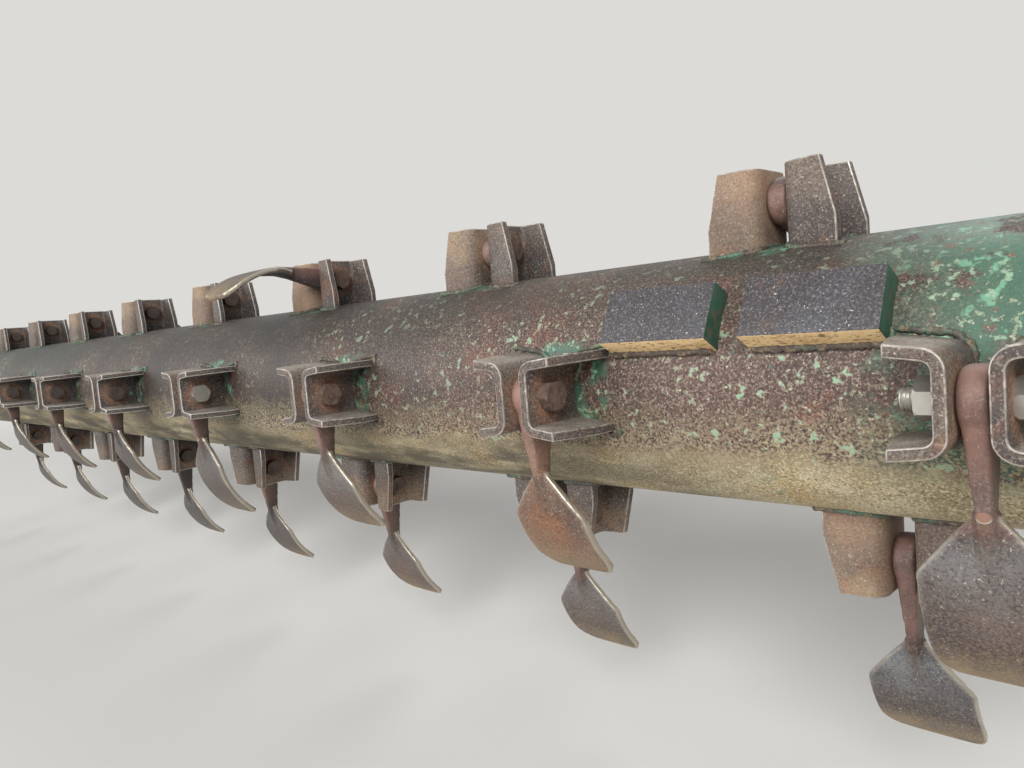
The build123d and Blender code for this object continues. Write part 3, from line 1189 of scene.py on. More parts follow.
@dataclass
class Flails:
    """The forged flails: an eye, a shank on edge and a wide paddle curved like a spoon."""

    layout: Layout
    worn: Blade = Blade(0.076, 0.172, math.radians(172.8147))
    new: Blade = Blade(0.101, 0.196, math.radians(174.8065))
    eye_radius: float = 0.020
    eye_thickness: float = 0.017
    bore_radius: float = 0.0085
    drill_reach: float = 0.02
    root_depth: float = 0.036
    neck_reach: float = 0.071
    neck_depth: float = 0.016
    neck_thickness: float = 0.0095
    shoulder_reach: float = 0.109
    half_width: float = 0.040
    neck_half_width: float = 0.008
    curve: float = 0.118
    thickness: float = 0.008
    blank_share: float = 0.84
    paddle_overlap: float = 0.004
    dish: float = 0.0007
    dish_run: float = 0.04
    tip_rounding: float = 0.020
    rib_overrun: float = 0.014
    rib_length: float = 0.055
    rib_half_width: float = 0.009
    edge_run: float = 0.005
    tip_run: float = 0.004
    bloom_radius: float = 0.04
    face_depth: float = 0.02
    scar_reach: float = 0.0675
    scar_half_width: float = 0.0046
    scar_half_height: float = 0.0036
    voxel: float = 0.0018
    orange: tuple[int, ...] = (5, 21)

    def blade(self, age: Age) -> Blade:
        """Return the blade of an age."""
        return self.new if age is Age.NEW else self.worn

    def width_at(self, blade: Blade, reach: float) -> float:
        """Find the paddle's half width.

        Args:
            blade: The blade.
            reach: Distance from the pin.

        Returns:
            Half the width there.
        """
        rise = (reach - self.neck_reach) / (self.shoulder_reach - self.neck_reach)
        rise = min(max(rise, 0.0), 1.0)
        width = self.neck_half_width + (self.half_width - self.neck_half_width) * rise**0.9
        into_tip = reach - (blade.tip_reach - self.tip_rounding)
        if into_tip > 0.0:
            inset = self.tip_rounding - math.sqrt(max(self.tip_rounding**2 - into_tip**2, 0.0))
            width -= inset
        return max(width, 0.001)

    def bend_at(self, blade: Blade, reach: float) -> float:
        """Return how far the paddle's middle has bent towards -Y at a reach."""
        run = max(reach - blade.curve_start, 0.0)
        return self.curve - math.sqrt(self.curve**2 - run**2)

    def paddle(self, blade: Blade, columns: int = 22, rows: int = 34) -> bmesh.types.BMesh:
        """Shape the paddle of a blade.

        Args:
            blade: The blade.
            columns: Faces across.
            rows: Faces along.

        Returns:
            The paddle as a closed curved plate.
        """
        plate = bmesh.new()
        bmesh.ops.create_grid(plate, x_segments=columns, y_segments=rows, size=1.0)
        start = self.neck_reach - self.paddle_overlap
        thick = self.thickness * self.blank_share
        for vert in plate.verts:
            reach = start + (vert.co.y + 1.0) / 2.0 * (blade.tip_reach - start)
            half = self.width_at(blade, reach)
            dish = self.dish * (vert.co.x**2) * min((reach - start) / self.dish_run, 1.0)
            lean = math.asin(max(reach - blade.curve_start, 0.0) / self.curve)
            middle = Vector((vert.co.x * half, -self.bend_at(blade, reach) - dish, reach))
            vert.co = middle - Vector((0.0, math.cos(lean), math.sin(lean))) * thick / 2
        bmesh.ops.recalc_face_normals(plate, faces=plate.faces)
        outward = plate.faces[:][0].normal.y > 0.0
        bmesh.ops.solidify(plate, geom=plate.faces[:], thickness=-thick if outward else thick)
        for vert in plate.verts:
            vert.co.z = min(vert.co.z, blade.tip_reach)
        return plate

    def shank(self, blade: Blade) -> bmesh.types.BMesh:
        """Shape the shank, on edge at the pin and running out as a rib down the paddle's face.

        Args:
            blade: The blade.

        Returns:
            The shank as a closed shape.
        """
        shank = bmesh.new()
        rib_end = self.shoulder_reach + self.rib_overrun
        # Each section's reach, thickness, depth and shift.
        stations = (
            (0.0, self.eye_thickness, self.root_depth, 0.0),
            (0.026, self.eye_thickness * 0.84, self.root_depth * 0.84, 0.0),
            (0.050, self.neck_thickness * 1.2, self.neck_depth * 1.45, 0.0),
            (self.neck_reach, self.neck_thickness, self.neck_depth * 1.08, 0.0),
            (0.090, self.neck_thickness * 1.15, self.neck_depth * 0.84, -self.bend_at(blade, 0.090)),
            (rib_end, self.neck_thickness * 1.6, self.thickness * 0.7, -self.bend_at(blade, rib_end)),
        )
        squareness = 0.92
        corner_share = 0.96
        loops = []
        for reach, thick, deep, shift in stations:
            loop = bmesh.ops.create_circle(
                shank,
                segments=16,
                radius=0.5,
                matrix=Matrix.Translation((0.0, shift, reach)) @ Matrix.Diagonal((thick, deep, 1.0, 1.0)),
            )["verts"]
            for vert in loop:
                side = vert.co.x / (thick / 2)
                fore = (vert.co.y - shift) / (deep / 2)
                reach_out = max(abs(side), abs(fore), 0.01)
                squarer = 1.0 + squareness * (1.0 / reach_out - 1.0) * math.hypot(side, fore)
                vert.co.x *= squarer * corner_share
                vert.co.y = shift + (vert.co.y - shift) * squarer * corner_share
            loops.append([e for e in shank.edges if all(v in loop for v in e.verts)])
        for lower, upper in zip(loops, loops[1:]):
            bmesh.ops.bridge_loops(shank, edges=lower + upper)
        bmesh.ops.holes_fill(shank, edges=[e for e in shank.edges if e.is_boundary], sides=0)
        bmesh.ops.recalc_face_normals(shank, faces=shank.faces)
        return shank

    def eye(self) -> bmesh.types.BMesh:
        """Shape the eye.

        Returns:
            A crowned disc.
        """
        half = self.eye_thickness / 2
        return turned_along_x(
            [
                (-half, 0.0),
                (-half, self.eye_radius * 0.86),
                (-half * 0.82, self.eye_radius * 0.96),
                (-half * 0.4, self.eye_radius),
                (half * 0.6, self.eye_radius),
                (half * 0.93, self.eye_radius * 0.96),
                (half, self.eye_radius * 0.87),
                (half, 0.0),
            ],
            48,
        )

    def forging(self, blade: Blade) -> bpy.types.Mesh:
        """Join the shapes of one flail under a single forged skin and bore it.

        Args:
            blade: The blade.

        Returns:
            The flail, pointing up from its pin.
        """
        whole = bmesh.new()
        for part in (self.paddle(blade), self.shank(blade), self.eye()):
            piece = bpy.data.meshes.new("forging_part")
            part.to_mesh(piece)
            part.free()
            whole.from_mesh(piece)
            bpy.data.meshes.remove(piece)
        blank = new_piece("forging_blank", whole)
        skin = blank.modifiers.new("forge", "REMESH")
        skin.mode = "VOXEL"
        skin.voxel_size = self.voxel
        relax = blank.modifiers.new("relax", "SMOOTH")
        relax.factor = 0.5
        relax.iterations = 3
        drill = bmesh.new()
        bar_along_x(drill, self.bore_radius, -self.drill_reach, self.drill_reach, 32)
        cut_away(blank, drill)
        mesh = blank.data
        mesh.name = "forging"
        bpy.data.objects.remove(blank)
        self.mark(blade, mesh)
        return mesh

    def mark(self, blade: Blade, mesh: bpy.types.Mesh) -> None:
        """Store on each point what the finish follows: its reach, edge, front, middle, rib and scar.

        Args:
            blade: The blade.
            mesh: Its forging.
        """
        names = ("reach", "edge", "front", "middle", "rib")
        marks: dict[str, list[float]] = {name: [] for name in names}
        from_scar: list[float] = []
        centre = blade.tip_reach * 0.7
        for vert in mesh.vertices:
            across, up = vert.co.x, vert.co.z
            facing = min(max(0.5 + vert.co.y / self.face_depth, 0.0), 1.0)
            near_side = 0.0
            # The edges wear bright, the +X side most, the -X side and the tip less.
            if up > self.neck_reach * 0.95:
                beside = self.width_at(blade, up) - abs(across)
                near_side = 1.0 - min(max(beside, 0.0) / self.edge_run, 1.0)
                near_side *= 1.0 if across > 0.0 else 0.82
                near_tip = 1.0 - min(max(blade.tip_reach - up, 0.0) / self.tip_run, 1.0)
                near_side = max(near_side, near_tip * 0.62)
            rib_run = (up - self.neck_reach) / self.rib_length
            rib = 1.0 - abs(across) / self.rib_half_width if 0.0 < rib_run < 1.0 else 0.0
            from_bloom = math.hypot(across, (up - centre) * 0.8)
            marks["reach"].append(up / blade.tip_reach)
            marks["edge"].append(near_side)
            marks["front"].append(max(facing, 0.15))
            marks["middle"].append(max(1.0 - from_bloom / self.bloom_radius, 0.0))
            marks["rib"].append(max(rib * 1.6 * (1.0 - rib_run), 0.0) * facing)
            # Only the outward side of a new flail still shows the scar.
            hidden = 0.0 if blade is self.new and facing > 0.6 else 9.0
            lift = up - self.scar_reach
            from_scar += [across / self.scar_half_width, lift / self.scar_half_height, hidden]
        for name, values in marks.items():
            mesh.attributes.new(name, "FLOAT", "POINT").data.foreach_set("value", values)
        mesh.attributes.new("from_scar", "FLOAT_VECTOR", "POINT").data.foreach_set("vector", from_scar)

    def build(self, finish: bpy.types.Material) -> list[bpy.types.Object]:
        """Make every flail in its parked place.

        Args:
            finish: The forged steel.

        Returns:
            The flails.
        """
        forgings = {age: self.forging(self.blade(age)) for age in Age}
        dice = random.Random(5)
        made: list[bpy.types.Object] = []
        for row in Row:
            for track in self.layout.tracks(row):
                name = f"flail_{track:02d}"
                age = self.layout.age(track)
                mesh = forgings[age].copy()
                mesh.materials.append(finish)
                mesh.transform(self.layout.flail(row, track, self.blade(age).hanging))
                tone = mesh.attributes.new("tone", "FLOAT", "POINT")
                amount = 1.0 if track in self.orange else dice.uniform(0.05, 0.35)
                tone.data.foreach_set("value", [amount] * len(mesh.vertices))
                piece = new_piece(name + "_forging", mesh)
                smooth(piece, 1.0)
                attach(piece, "rotor" if track == self.layout.seized else name)
                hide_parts(name)
                made.append(piece)
        for mesh in forgings.values():
            bpy.data.meshes.remove(mesh)
        return made


@dataclass(frozen=True)
class Dust:
    """How dusty a row's lugs are on either side of a flail, and how strongly their channels are spared dust
    and, past the first few lugs, laid in painted shade.
    """

    left: float
    right: float
    channel_clean_and_shade: float
    fade: float
    least: float = 0.25

    def amounts(self, order: int) -> tuple[float, float]:
        """Find the dust on the lugs of one pair.

        Args:
            order: How many pairs lie between it and the right end.

        Returns:
            The dust on the lug towards +X and on the other.
        """
        near = max(1.0 - self.fade * order, self.least)
        return self.right * near, self.left * near


@dataclass
class Lugs:
    """The bent plate lugs, in pairs that face each other over a flail, with their welds."""

    layout: Layout
    gap: float = 0.020
    plate: float = 0.008
    height: float = 0.068
    splay: float = math.radians(7.0)
    tip_radius: float = 0.173
    tube_radius: float = TUBE_RADIUS
    foot_share: float = 0.915
    flange_tip: float = 0.033
    flange_base: float = 0.048
    bend_radius: float = 0.018
    edge_wear: float = 0.0011
    bead: float = 0.0024
    bead_lift: float = 0.0006
    ripple: float = 0.0026
    # The third number scales the channel mark: it spares the channels dust and deepens their painted shade.
    dust: dict[Row, Dust] = field(
        default_factory=lambda: {
            Row.FRONT: Dust(left=0.25, right=0.08, channel_clean_and_shade=1.0, fade=0.05),
            Row.BOTTOM: Dust(left=1.0, right=0.95, channel_clean_and_shade=0.2, fade=0.2),
            Row.TOP: Dust(left=1.0, right=0.2, channel_clean_and_shade=1.0, fade=0.07),
            Row.BACK: Dust(left=0.46, right=0.15, channel_clean_and_shade=1.0, fade=0.05),
        }
    )
    beads: list[list[tuple[Vector, float]]] = field(default_factory=list)

    def section(self, depth: float) -> list[tuple[float, float]]:
        """Return a line of the bent plate, as places along X and across.

        Args:
            depth: How far the line lies inside the plate's outer face.

        Returns:
            The line's points from one flange end round the web to the other.
        """
        web = self.gap / 2 + depth
        end = self.gap / 2 + self.flange_base
        radius = self.bend_radius - depth
        rise = math.tan(self.splay)
        half = self.height / 2 + depth * rise - depth / math.cos(self.splay)
        middle = half + radius * rise - radius / math.cos(self.splay)
        line = [(end, half + (end - web) * rise)]
        steps = 7
        for step in range(steps + 1):
            turn = math.pi / 2 + self.splay + (math.pi / 2 - self.splay) * step / steps
            line.append((web + radius + radius * math.cos(turn), middle + radius * math.sin(turn)))
        return line + [(x, -y) for x, y in reversed(line)]

    def lug(self) -> bmesh.types.BMesh:
        """Bend and trim the lug on the +X side of an upright flail.

        Returns:
            The lug, coped into the tube's wall.
        """
        low = self.tube_radius * self.foot_share
        plate = bmesh.new()
        verts = [plate.verts.new((x, y, low)) for x, y in self.section(self.plate / 2)]
        edges = [plate.edges.new(pair) for pair in zip(verts, verts[1:])]
        grown = bmesh.ops.extrude_edge_only(plate, edges=edges)["geom"]
        top = [g for g in grown if isinstance(g, bmesh.types.BMVert)]
        bmesh.ops.translate(plate, verts=top, vec=(0.0, 0.0, self.tip_radius - low))
        bmesh.ops.recalc_face_normals(plate, faces=plate.faces)
        centre = plate.faces[:][len(plate.faces) // 2]
        outward = centre.normal.x < 0.0
        bmesh.ops.solidify(plate, geom=plate.faces[:], thickness=self.plate if outward else -self.plate)
        lowest = min(v.co.x for v in plate.verts)
        bmesh.ops.translate(plate, verts=plate.verts, vec=(self.gap / 2 - lowest, 0.0, 0.0))
        base = Vector((self.gap / 2 + self.flange_base, 0.0, self.tube_radius))
        tip = Vector((self.gap / 2 + self.flange_tip, 0.0, self.tip_radius))
        slope = tip - base
        cut = bmesh.ops.bisect_plane(
            plate,
            geom=plate.verts[:] + plate.edges[:] + plate.faces[:],
            plane_co=base,
            plane_no=Vector((slope.z, 0.0, -slope.x)),
            clear_outer=True,
        )
        rim = [g for g in cut["geom_cut"] if isinstance(g, bmesh.types.BMEdge)]
        bmesh.ops.holes_fill(plate, edges=rim, sides=0)
        bmesh.ops.recalc_face_normals(plate, faces=plate.faces)
        for face in plate.faces:
            face.material_index = 0
        soften(plate, self.edge_wear, 0.7, 1)
        return plate

    def is_inside(self, place: Vector) -> float:
        """Tell if a point lies in the lug's channel.

        Args:
            place: The point, on the lug as drawn upright.

        Returns:
            One on the channel's inner side, zero on the outside.
        """
        half = self.height / 2 + (place.x - self.gap / 2) * math.tan(self.splay)
        skin = self.plate * 0.6
        return float(place.x > self.gap / 2 + skin and abs(place.y) < half - skin)

    def mark(self, row: Row, drawn: bpy.types.Mesh, mesh: bpy.types.Mesh, dice: random.Random) -> None:
        """Store on each point of a row's plates its dust, if it is inside and its place from the pin.

        Args:
            row: The row.
            drawn: One lug as drawn upright.
            mesh: The row's plates, lug after lug.
            dice: Seeded source of unevenness.
        """
        places = [vert.co for vert in drawn.vertices]
        inside = [self.is_inside(place) for place in places]
        from_pin = [part for place in places for part in (0.0, place.y, place.z - self.layout.pin_radius)]
        lies = self.dust[row]
        pairs = [lies.amounts(order) for order in range(self.layout.per_row)]
        amounts = [min(amount * dice.uniform(0.8, 1.2), 1.0) for pair in pairs for amount in pair]
        dust = [amount for amount in amounts for _ in inside]
        channel_mark = [mark * lies.channel_clean_and_shade for mark in inside] * len(amounts)
        for name, values in (("dust", dust), ("inside", channel_mark)):
            mesh.attributes.new(name, "FLOAT", "POINT").data.foreach_set("value", values)
        vectors = mesh.attributes.new("from_pin", "FLOAT_VECTOR", "POINT")
        vectors.data.foreach_set("vector", from_pin * len(amounts))

    def bead_path(self, side: int) -> list[tuple[float, float]]:
        """Draw the weld's line round the outside of a lug's foot.

        Args:
            side: +1 for the lug towards +X, -1 for the other.

        Returns:
            Its places along X and across.
        """
        line = self.section(0.0)
        end, half = line[0]
        past_end = end + 1.0 * MM
        line.insert(0, (past_end, half - self.plate))
        line.append((past_end, self.plate - half))
        return [(side * x, y) for x, y in line]

    def lay_bead(self, station: Matrix, side: int, dice: random.Random) -> None:
        """Lay the rippled weld of one lug along the tube's surface.

        Args:
            station: The pair's place.
            side: +1 for the lug towards +X, -1 for the other.
            dice: Seeded source of the ripple's unevenness.
        """
        path = self.bead_path(side)
        points: list[tuple[Vector, float]] = []
        for (x0, y0), (x1, y1) in zip(path, path[1:]):
            count = max(int(math.hypot(x1 - x0, y1 - y0) / self.ripple), 1)
            for step in range(count):
                share = step / count
                x = x0 + (x1 - x0) * share
                y = y0 + (y1 - y0) * share
                z = math.sqrt(max(self.tube_radius**2 - y * y, 0.0)) + self.bead_lift
                fat = 0.85 + 0.3 * (len(points) % 2) + dice.uniform(-0.18, 0.18)
                wander = Vector((dice.uniform(-0.6, 0.6), dice.uniform(-0.6, 0.6), 0.0)) * MM
                points.append((station @ (Vector((x, y, z)) + wander), fat))
        self.beads.append(points)

    def build(
        self, plate: bpy.types.Material, edge: bpy.types.Material, weld: bpy.types.Material
    ) -> list[bpy.types.Object]:
        """Make the lugs and their welds, row by row.

        Args:
            plate: Finish of the plate.
            edge: Finish of its worn edges.
            weld: Finish of the welds.

        Returns:
            The pieces.
        """
        one = self.lug()
        drawn = bpy.data.meshes.new("lug")
        one.to_mesh(drawn)
        one.free()
        dice = random.Random(7)
        made: list[bpy.types.Object] = []
        for row in Row:
            whole = bmesh.new()
            self.beads.clear()
            for track in self.layout.tracks(row):
                station = self.layout.station(row, track)
                for side in (1, -1):
                    mesh = drawn.copy()
                    mesh.transform(Matrix.Rotation(math.pi if side < 0 else 0.0, 4, "Z"))
                    mesh.transform(station)
                    whole.from_mesh(mesh)
                    bpy.data.meshes.remove(mesh)
                    self.lay_bead(station, side, dice)
            word = row.name.lower()
            piece = new_piece(f"lug_plates_{word}", whole)
            self.mark(row, drawn, piece.data, dice)
            piece.data.materials.append(plate)
            piece.data.materials.append(edge)
            smooth(piece, 0.5)
            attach(piece, "rotor")
            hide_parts(f"flail_lugs_{word}")
            made += [piece, self.weld(word, weld)]
        return made

    def weld(self, word: str, finish: bpy.types.Material) -> bpy.types.Object:
        """Turn the laid beads of a row into one piece.

        Args:
            word: The row's name.
            finish: Finish of the weld.

        Returns:
            The piece.
        """
        piece = new_piece(f"lug_welds_{word}", bead_mesh(f"beads_{word}", self.beads, self.bead, 1))
        piece.data.materials.append(finish)
        smooth(piece, 1.2)
        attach(piece, "rotor")
        return piece


@dataclass
class Bolts:
    """The flail bolts: chamfered hexagons, a plain shank and a cut thread past the nut."""

    layout: Layout
    radius: float = 0.008
    across_flats: float = 0.024
    head_height: float = 0.010
    nut_height: float = 0.014
    stick_out: float = 0.009
    web: float = 0.018
    chamfer: float = 0.0022
    washer_face: float = 0.0008
    pitch: float = 0.002
    thread_depth: float = 0.0011
    thread_steps: int = 20

    def hexagon(self, shape: bmesh.types.BMesh, start: float, end: float, twist: float) -> None:
        """Add a hexagon along X with the chamfer of a forged head or nut.

        Args:
            shape: The bmesh that it is added to.
            start: Place of its lower end.
            end: Place of its upper end.
            twist: Its turn about the bolt.
        """
        corner = self.across_flats / math.sqrt(3.0)
        verts = bar_along_x(shape, corner, start, end, 6)
        bmesh.ops.rotate(shape, verts=verts, cent=(0.0, 0.0, 0.0), matrix=Matrix.Rotation(twist, 3, "X"))
        bmesh.ops.bevel(
            shape,
            geom=verts,
            offset=self.chamfer,
            segments=1,
            profile=0.5,
            affect="VERTICES",
            material=-1,
            clamp_overlap=True,
        )

    def thread(self, shape: bmesh.types.BMesh, start: float, end: float) -> None:
        """Add a cut thread along X.

        Args:
            shape: The bmesh that it is added to.
            start: Where it leaves the nut.
            end: The bolt's free end.
        """
        turns = (start - end) / self.pitch - 1.0
        deep = self.radius - self.thread_depth
        flank = [(0.0, deep), (-self.pitch * 0.5, self.radius), (-self.pitch, deep)]
        verts = [shape.verts.new((start + x, 0.0, r)) for x, r in flank]
        edges = [shape.edges.new(pair) for pair in zip(verts, verts[1:])]
        bmesh.ops.spin(
            shape,
            geom=verts + edges,
            cent=(0.0, 0.0, 0.0),
            axis=(1.0, 0.0, 0.0),
            dvec=(-self.pitch / self.thread_steps, 0.0, 0.0),
            angle=math.tau * turns,
            steps=int(self.thread_steps * turns),
            use_duplicate=False,
        )
        bar_along_x(shape, deep * 0.99, end + 0.3 * MM, start, self.thread_steps)

    def bolt(self, twist: float) -> bpy.types.Mesh:
        """Make one bolt with its nut on the X axis.

        Args:
            twist: Turn of its hexagons.

        Returns:
            The bolt's mesh.
        """
        shape = bmesh.new()
        bar_along_x(shape, self.radius, -self.web - self.nut_height * 0.5, self.web, 24)
        self.hexagon(shape, self.web, self.web + self.head_height, twist)
        self.hexagon(shape, -self.web - self.nut_height, -self.web, twist * 0.5)
        bar_along_x(shape, self.across_flats * 0.48, self.web, self.web + self.washer_face, 24)
        end = -self.web - self.nut_height
        self.thread(shape, end + self.pitch, end - self.stick_out)
        mesh = bpy.data.meshes.new("bolt")
        bmesh.ops.recalc_face_normals(shape, faces=shape.faces)
        shape.to_mesh(mesh)
        shape.free()
        return mesh

    def build(self, finishes: dict[Age, bpy.types.Material]) -> list[bpy.types.Object]:
        """Make the bolts row by row.

        Args:
            finishes: The finish for each age.

        Returns:
            The rows of bolts.
        """
        dice = random.Random(3)
        made: list[bpy.types.Object] = []
        for row in Row:
            whole = bmesh.new()
            for track in self.layout.tracks(row):
                mesh = self.bolt(dice.uniform(0.0, math.pi / 3))
                fresh = self.layout.age(track) is Age.NEW
                mesh.polygons.foreach_set("material_index", [int(fresh)] * len(mesh.polygons))
                mesh.transform(self.layout.pin(row, track))
                whole.from_mesh(mesh)
                bpy.data.meshes.remove(mesh)
            word = row.name.lower()
            piece = new_piece(f"bolts_and_nuts_{word}", whole)
            piece.data.materials.append(finishes[Age.WORN])
            piece.data.materials.append(finishes[Age.NEW])
            smooth(piece, 0.45)
            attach(piece, "rotor")
            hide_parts(f"flail_bolts_{word}")
            made.append(piece)
        return made


@dataclass
class Tube:
    """The rotor tube, in rings fine enough to show where the lugs shelter its paint."""

    radius: float = TUBE_RADIUS
    wall: float = 0.010
    lip: float = 0.0012
    rings: int = 300
    segments: int = 120
    shelter_along: float = 0.06
    shelter_across: float = math.radians(27.0)

    def mark(self, layout: Layout, mesh: bpy.types.Mesh) -> None:
        """Store on each point how far the lugs beside it shelter the paint.

        Args:
            layout: The rotor's layout.
            mesh: The tube's mesh.
        """
        shelter = mesh.attributes.new("shelter", "FLOAT", "POINT")
        for row in Row:
            clock = layout.clocks[row]
            for n, vert in enumerate(mesh.vertices):
                around = math.atan2(-vert.co.y, vert.co.z) - clock
                around = abs((around + math.pi) % math.tau - math.pi)
                if around > self.shelter_across:
                    continue
                track = (layout.first_track - vert.co.x) / layout.track - row.value
                away = abs(track - len(Row) * round(track / len(Row))) * layout.track
                if away < self.shelter_along:
                    near = (1.0 - away / self.shelter_along) * (1.0 - around / self.shelter_across)
                    shelter.data[n].value = max(shelter.data[n].value, min(1.8 * math.sqrt(near), 1.0))

    def build(self, layout: Layout, finish: bpy.types.Material) -> list[bpy.types.Object]:
        """Make the tube.

        Args:
            layout: The rotor's layout.
            finish: The worn paint.

        Returns:
            The tube, alone in a list.
        """
        low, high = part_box("rotor_tube")
        bore = self.radius - self.wall
        straight = high[0] - low[0] - 2 * self.lip
        run = [low[0] + self.lip + straight * n / self.rings for n in range(self.rings + 1)]
        outline = [(low[0], bore), (low[0], self.radius - self.lip)]
        outline += [(x, self.radius) for x in run]
        outline += [(high[0], self.radius - self.lip), (high[0], bore), (low[0], bore)]
        piece = new_piece("tube_worn", turned_along_x(outline, self.segments))
        self.mark(layout, piece.data)
        piece.data.materials.append(finish)
        smooth(piece, 0.5)
        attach(piece, "rotor")
        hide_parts("rotor_tube")
        return [piece]


@dataclass
class BalanceBlocks:
    """Flat bars welded on to balance the rotor, with dust dried on their low sides."""

    radius: float = TUBE_RADIUS
    length: float = 0.098
    width: float = 0.048
    thickness: float = 0.020
    spacing: float = 0.124
    clock: float = math.radians(51.5)
    seat_share: float = 0.94
    edge_wear: float = 0.0012
    bead: float = 0.0034
    bead_points: int = 40
    bead_gap: float = 0.0005
    bead_lift: float = 0.0016
    bead_short: float = 0.006

    def middles(self, layout: Layout) -> list[float]:
        """Return the blocks' places along the shaft."""
        centre = layout.first_track - 2 * layout.track
        return [centre + self.spacing / 2, centre - self.spacing / 2]

    def build(
        self, layout: Layout, sides: dict[BlockSide, bpy.types.Material], weld: bpy.types.Material
    ) -> list[bpy.types.Object]:
        """Make the blocks and their welds.

        Args:
            layout: The rotor's layout.
            sides: Finish of each side.
            weld: Finish of the welds.

        Returns:
            The pieces.
        """
        whole = bmesh.new()
        turn = Matrix.Rotation(self.clock, 4, "X")
        seat = self.radius * self.seat_share
        tall = self.radius + self.thickness - seat
        for x in self.middles(layout):
            place = turn @ Matrix.Translation((x, 0.0, seat + tall / 2))
            size = Matrix.Diagonal((self.length, self.width, tall, 1.0))
            bmesh.ops.create_cube(whole, size=1.0, matrix=place @ size)
        low_way = turn.to_3x3() @ Vector((0.0, -1.0, 0.0))
        for face in whole.faces:
            if abs(face.normal.x) > 0.9:
                face.material_index = list(BlockSide).index(BlockSide.END)
            elif face.normal.dot(low_way) > 0.9:
                face.material_index = list(BlockSide).index(BlockSide.LOW)
        soften(whole, self.edge_wear, 0.7)
        piece = new_piece("balance_bars", whole)
        for side in BlockSide:
            piece.data.materials.append(sides[side])
        smooth(piece, 0.5)
        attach(piece, "rotor")
        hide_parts("balance_blocks")
        return [piece, self.lay_welds(layout, turn, weld)]

    def lay_welds(self, layout: Layout, turn: Matrix, finish: bpy.types.Material) -> bpy.types.Object:
        """Lay the uneven weld along the long sides of the blocks.

        Args:
            layout: The rotor's layout.
            turn: Turn that brings a shape on top of the tube to the blocks.
            finish: Finish of the weld.

        Returns:
            The piece.
        """
        dice = random.Random(11)
        runs: list[list[tuple[Vector, float]]] = []
        for x in self.middles(layout):
            for side in (1, -1):
                y = side * (self.width / 2 + self.bead_gap)
                z = math.sqrt(self.radius**2 - y * y) + self.bead_lift
                run = []
                for n in range(self.bead_points):
                    along = x + (n / (self.bead_points - 1) - 0.5) * (self.length - self.bead_short)
                    fat = 0.8 + 0.25 * (n % 2) + dice.uniform(-0.2, 0.25)
                    run.append((turn @ Vector((along, y, z)), fat))
                runs.append(run)
        piece = new_piece("block_welds", bead_mesh("block_beads", runs, self.bead, 2))
        piece.data.materials.append(finish)
        smooth(piece, 1.2)
        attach(piece, "rotor")
        return piece


@dataclass
class ShaftEnds:
    """The discs and turned stub shafts that close the tube and run in the housings."""

    bore: float = 0.09955
    disc: float = 0.020
    recess: float = 0.008
    flange_radius: float = 0.080
    flange: float = 0.018
    collar_radius: float = 0.038
    collar: float = 0.020
    journal_radius: float = 0.0275
    drive_radius: float = 0.0225
    drive: float = 0.080
    keyway_width: float = 0.014
    keyway_depth: float = 0.0055
    keyway_length: float = 0.056
    keyway_clock: float = math.radians(27.0)
    keyway_run_out: float = 0.02
    edge_chamfer: float = 0.001
    flange_chamfer: float = 0.0015
    drive_chamfer: float = 0.002

    def keyway(self, tip: float) -> bmesh.types.BMesh:
        """Shape what the keyway takes out of the drive end.

        Args:
            tip: Place of the shaft's left-hand end.

        Returns:
            A bar that runs out past the end.
        """
        floor = self.drive_radius - self.keyway_depth
        run_out = self.keyway_run_out
        tall = 0.02
        middle = Vector((tip + (self.keyway_length - run_out) / 2, 0.0, floor + tall / 2))
        size = (self.keyway_length + run_out, self.keyway_width, tall, 1.0)
        turn = Matrix.Rotation(self.keyway_clock, 4, "X")
        bar = bmesh.new()
        place = turn @ Matrix.Translation(middle) @ Matrix.Diagonal(size)
        bmesh.ops.create_cube(bar, size=1.0, matrix=place)
        return bar

    def build(self, finish: bpy.types.Material) -> list[bpy.types.Object]:
        """Make both ends.

        Args:
            finish: The turned steel.

        Returns:
            The left end and the right one.
        """
        made: list[bpy.types.Object] = []
        tube_low, tube_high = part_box("rotor_tube")
        for side, sign, mouth in (("left", -1.0, tube_low[0]), ("right", 1.0, tube_high[0])):
            low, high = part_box(f"shaft_end_{side}")
            tip = low[0] if sign < 0 else high[0]
            seat = mouth - sign * self.recess
            collar = seat + sign * self.flange
            journal = collar + sign * self.collar
            outline = [(seat - sign * self.disc, 0.0), (seat - sign * self.disc, self.bore)]
            outline += [(seat, self.bore), (seat, self.flange_radius)]
            outline.append((collar - sign * self.flange_chamfer, self.flange_radius))
            outline += [(collar, self.flange_radius - self.flange_chamfer), (collar, self.collar_radius)]
            outline.append((journal - sign * self.edge_chamfer, self.collar_radius))
            outline += [(journal, self.collar_radius - self.edge_chamfer), (journal, self.journal_radius)]
            if side == "left":
                step = tip - sign * self.drive
                outline += [(step, self.journal_radius), (step, self.drive_radius)]
                outline.append((tip - sign * self.drive_chamfer, self.drive_radius))
                outline.append((tip, self.drive_radius - self.drive_chamfer))
            else:
                outline.append((tip - sign * self.edge_chamfer, self.journal_radius))
                outline.append((tip, self.journal_radius - self.edge_chamfer))
            outline.append((tip, 0.0))
            piece = new_piece(f"stub_shaft_{side}", turned_along_x(outline, 96))
            if side == "left":
                cut_away(piece, self.keyway(tip))
            piece.data.materials.append(finish)
            smooth(piece, 0.4)
            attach(piece, "rotor")
            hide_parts(f"shaft_end_{side}")
            made.append(piece)
        return made


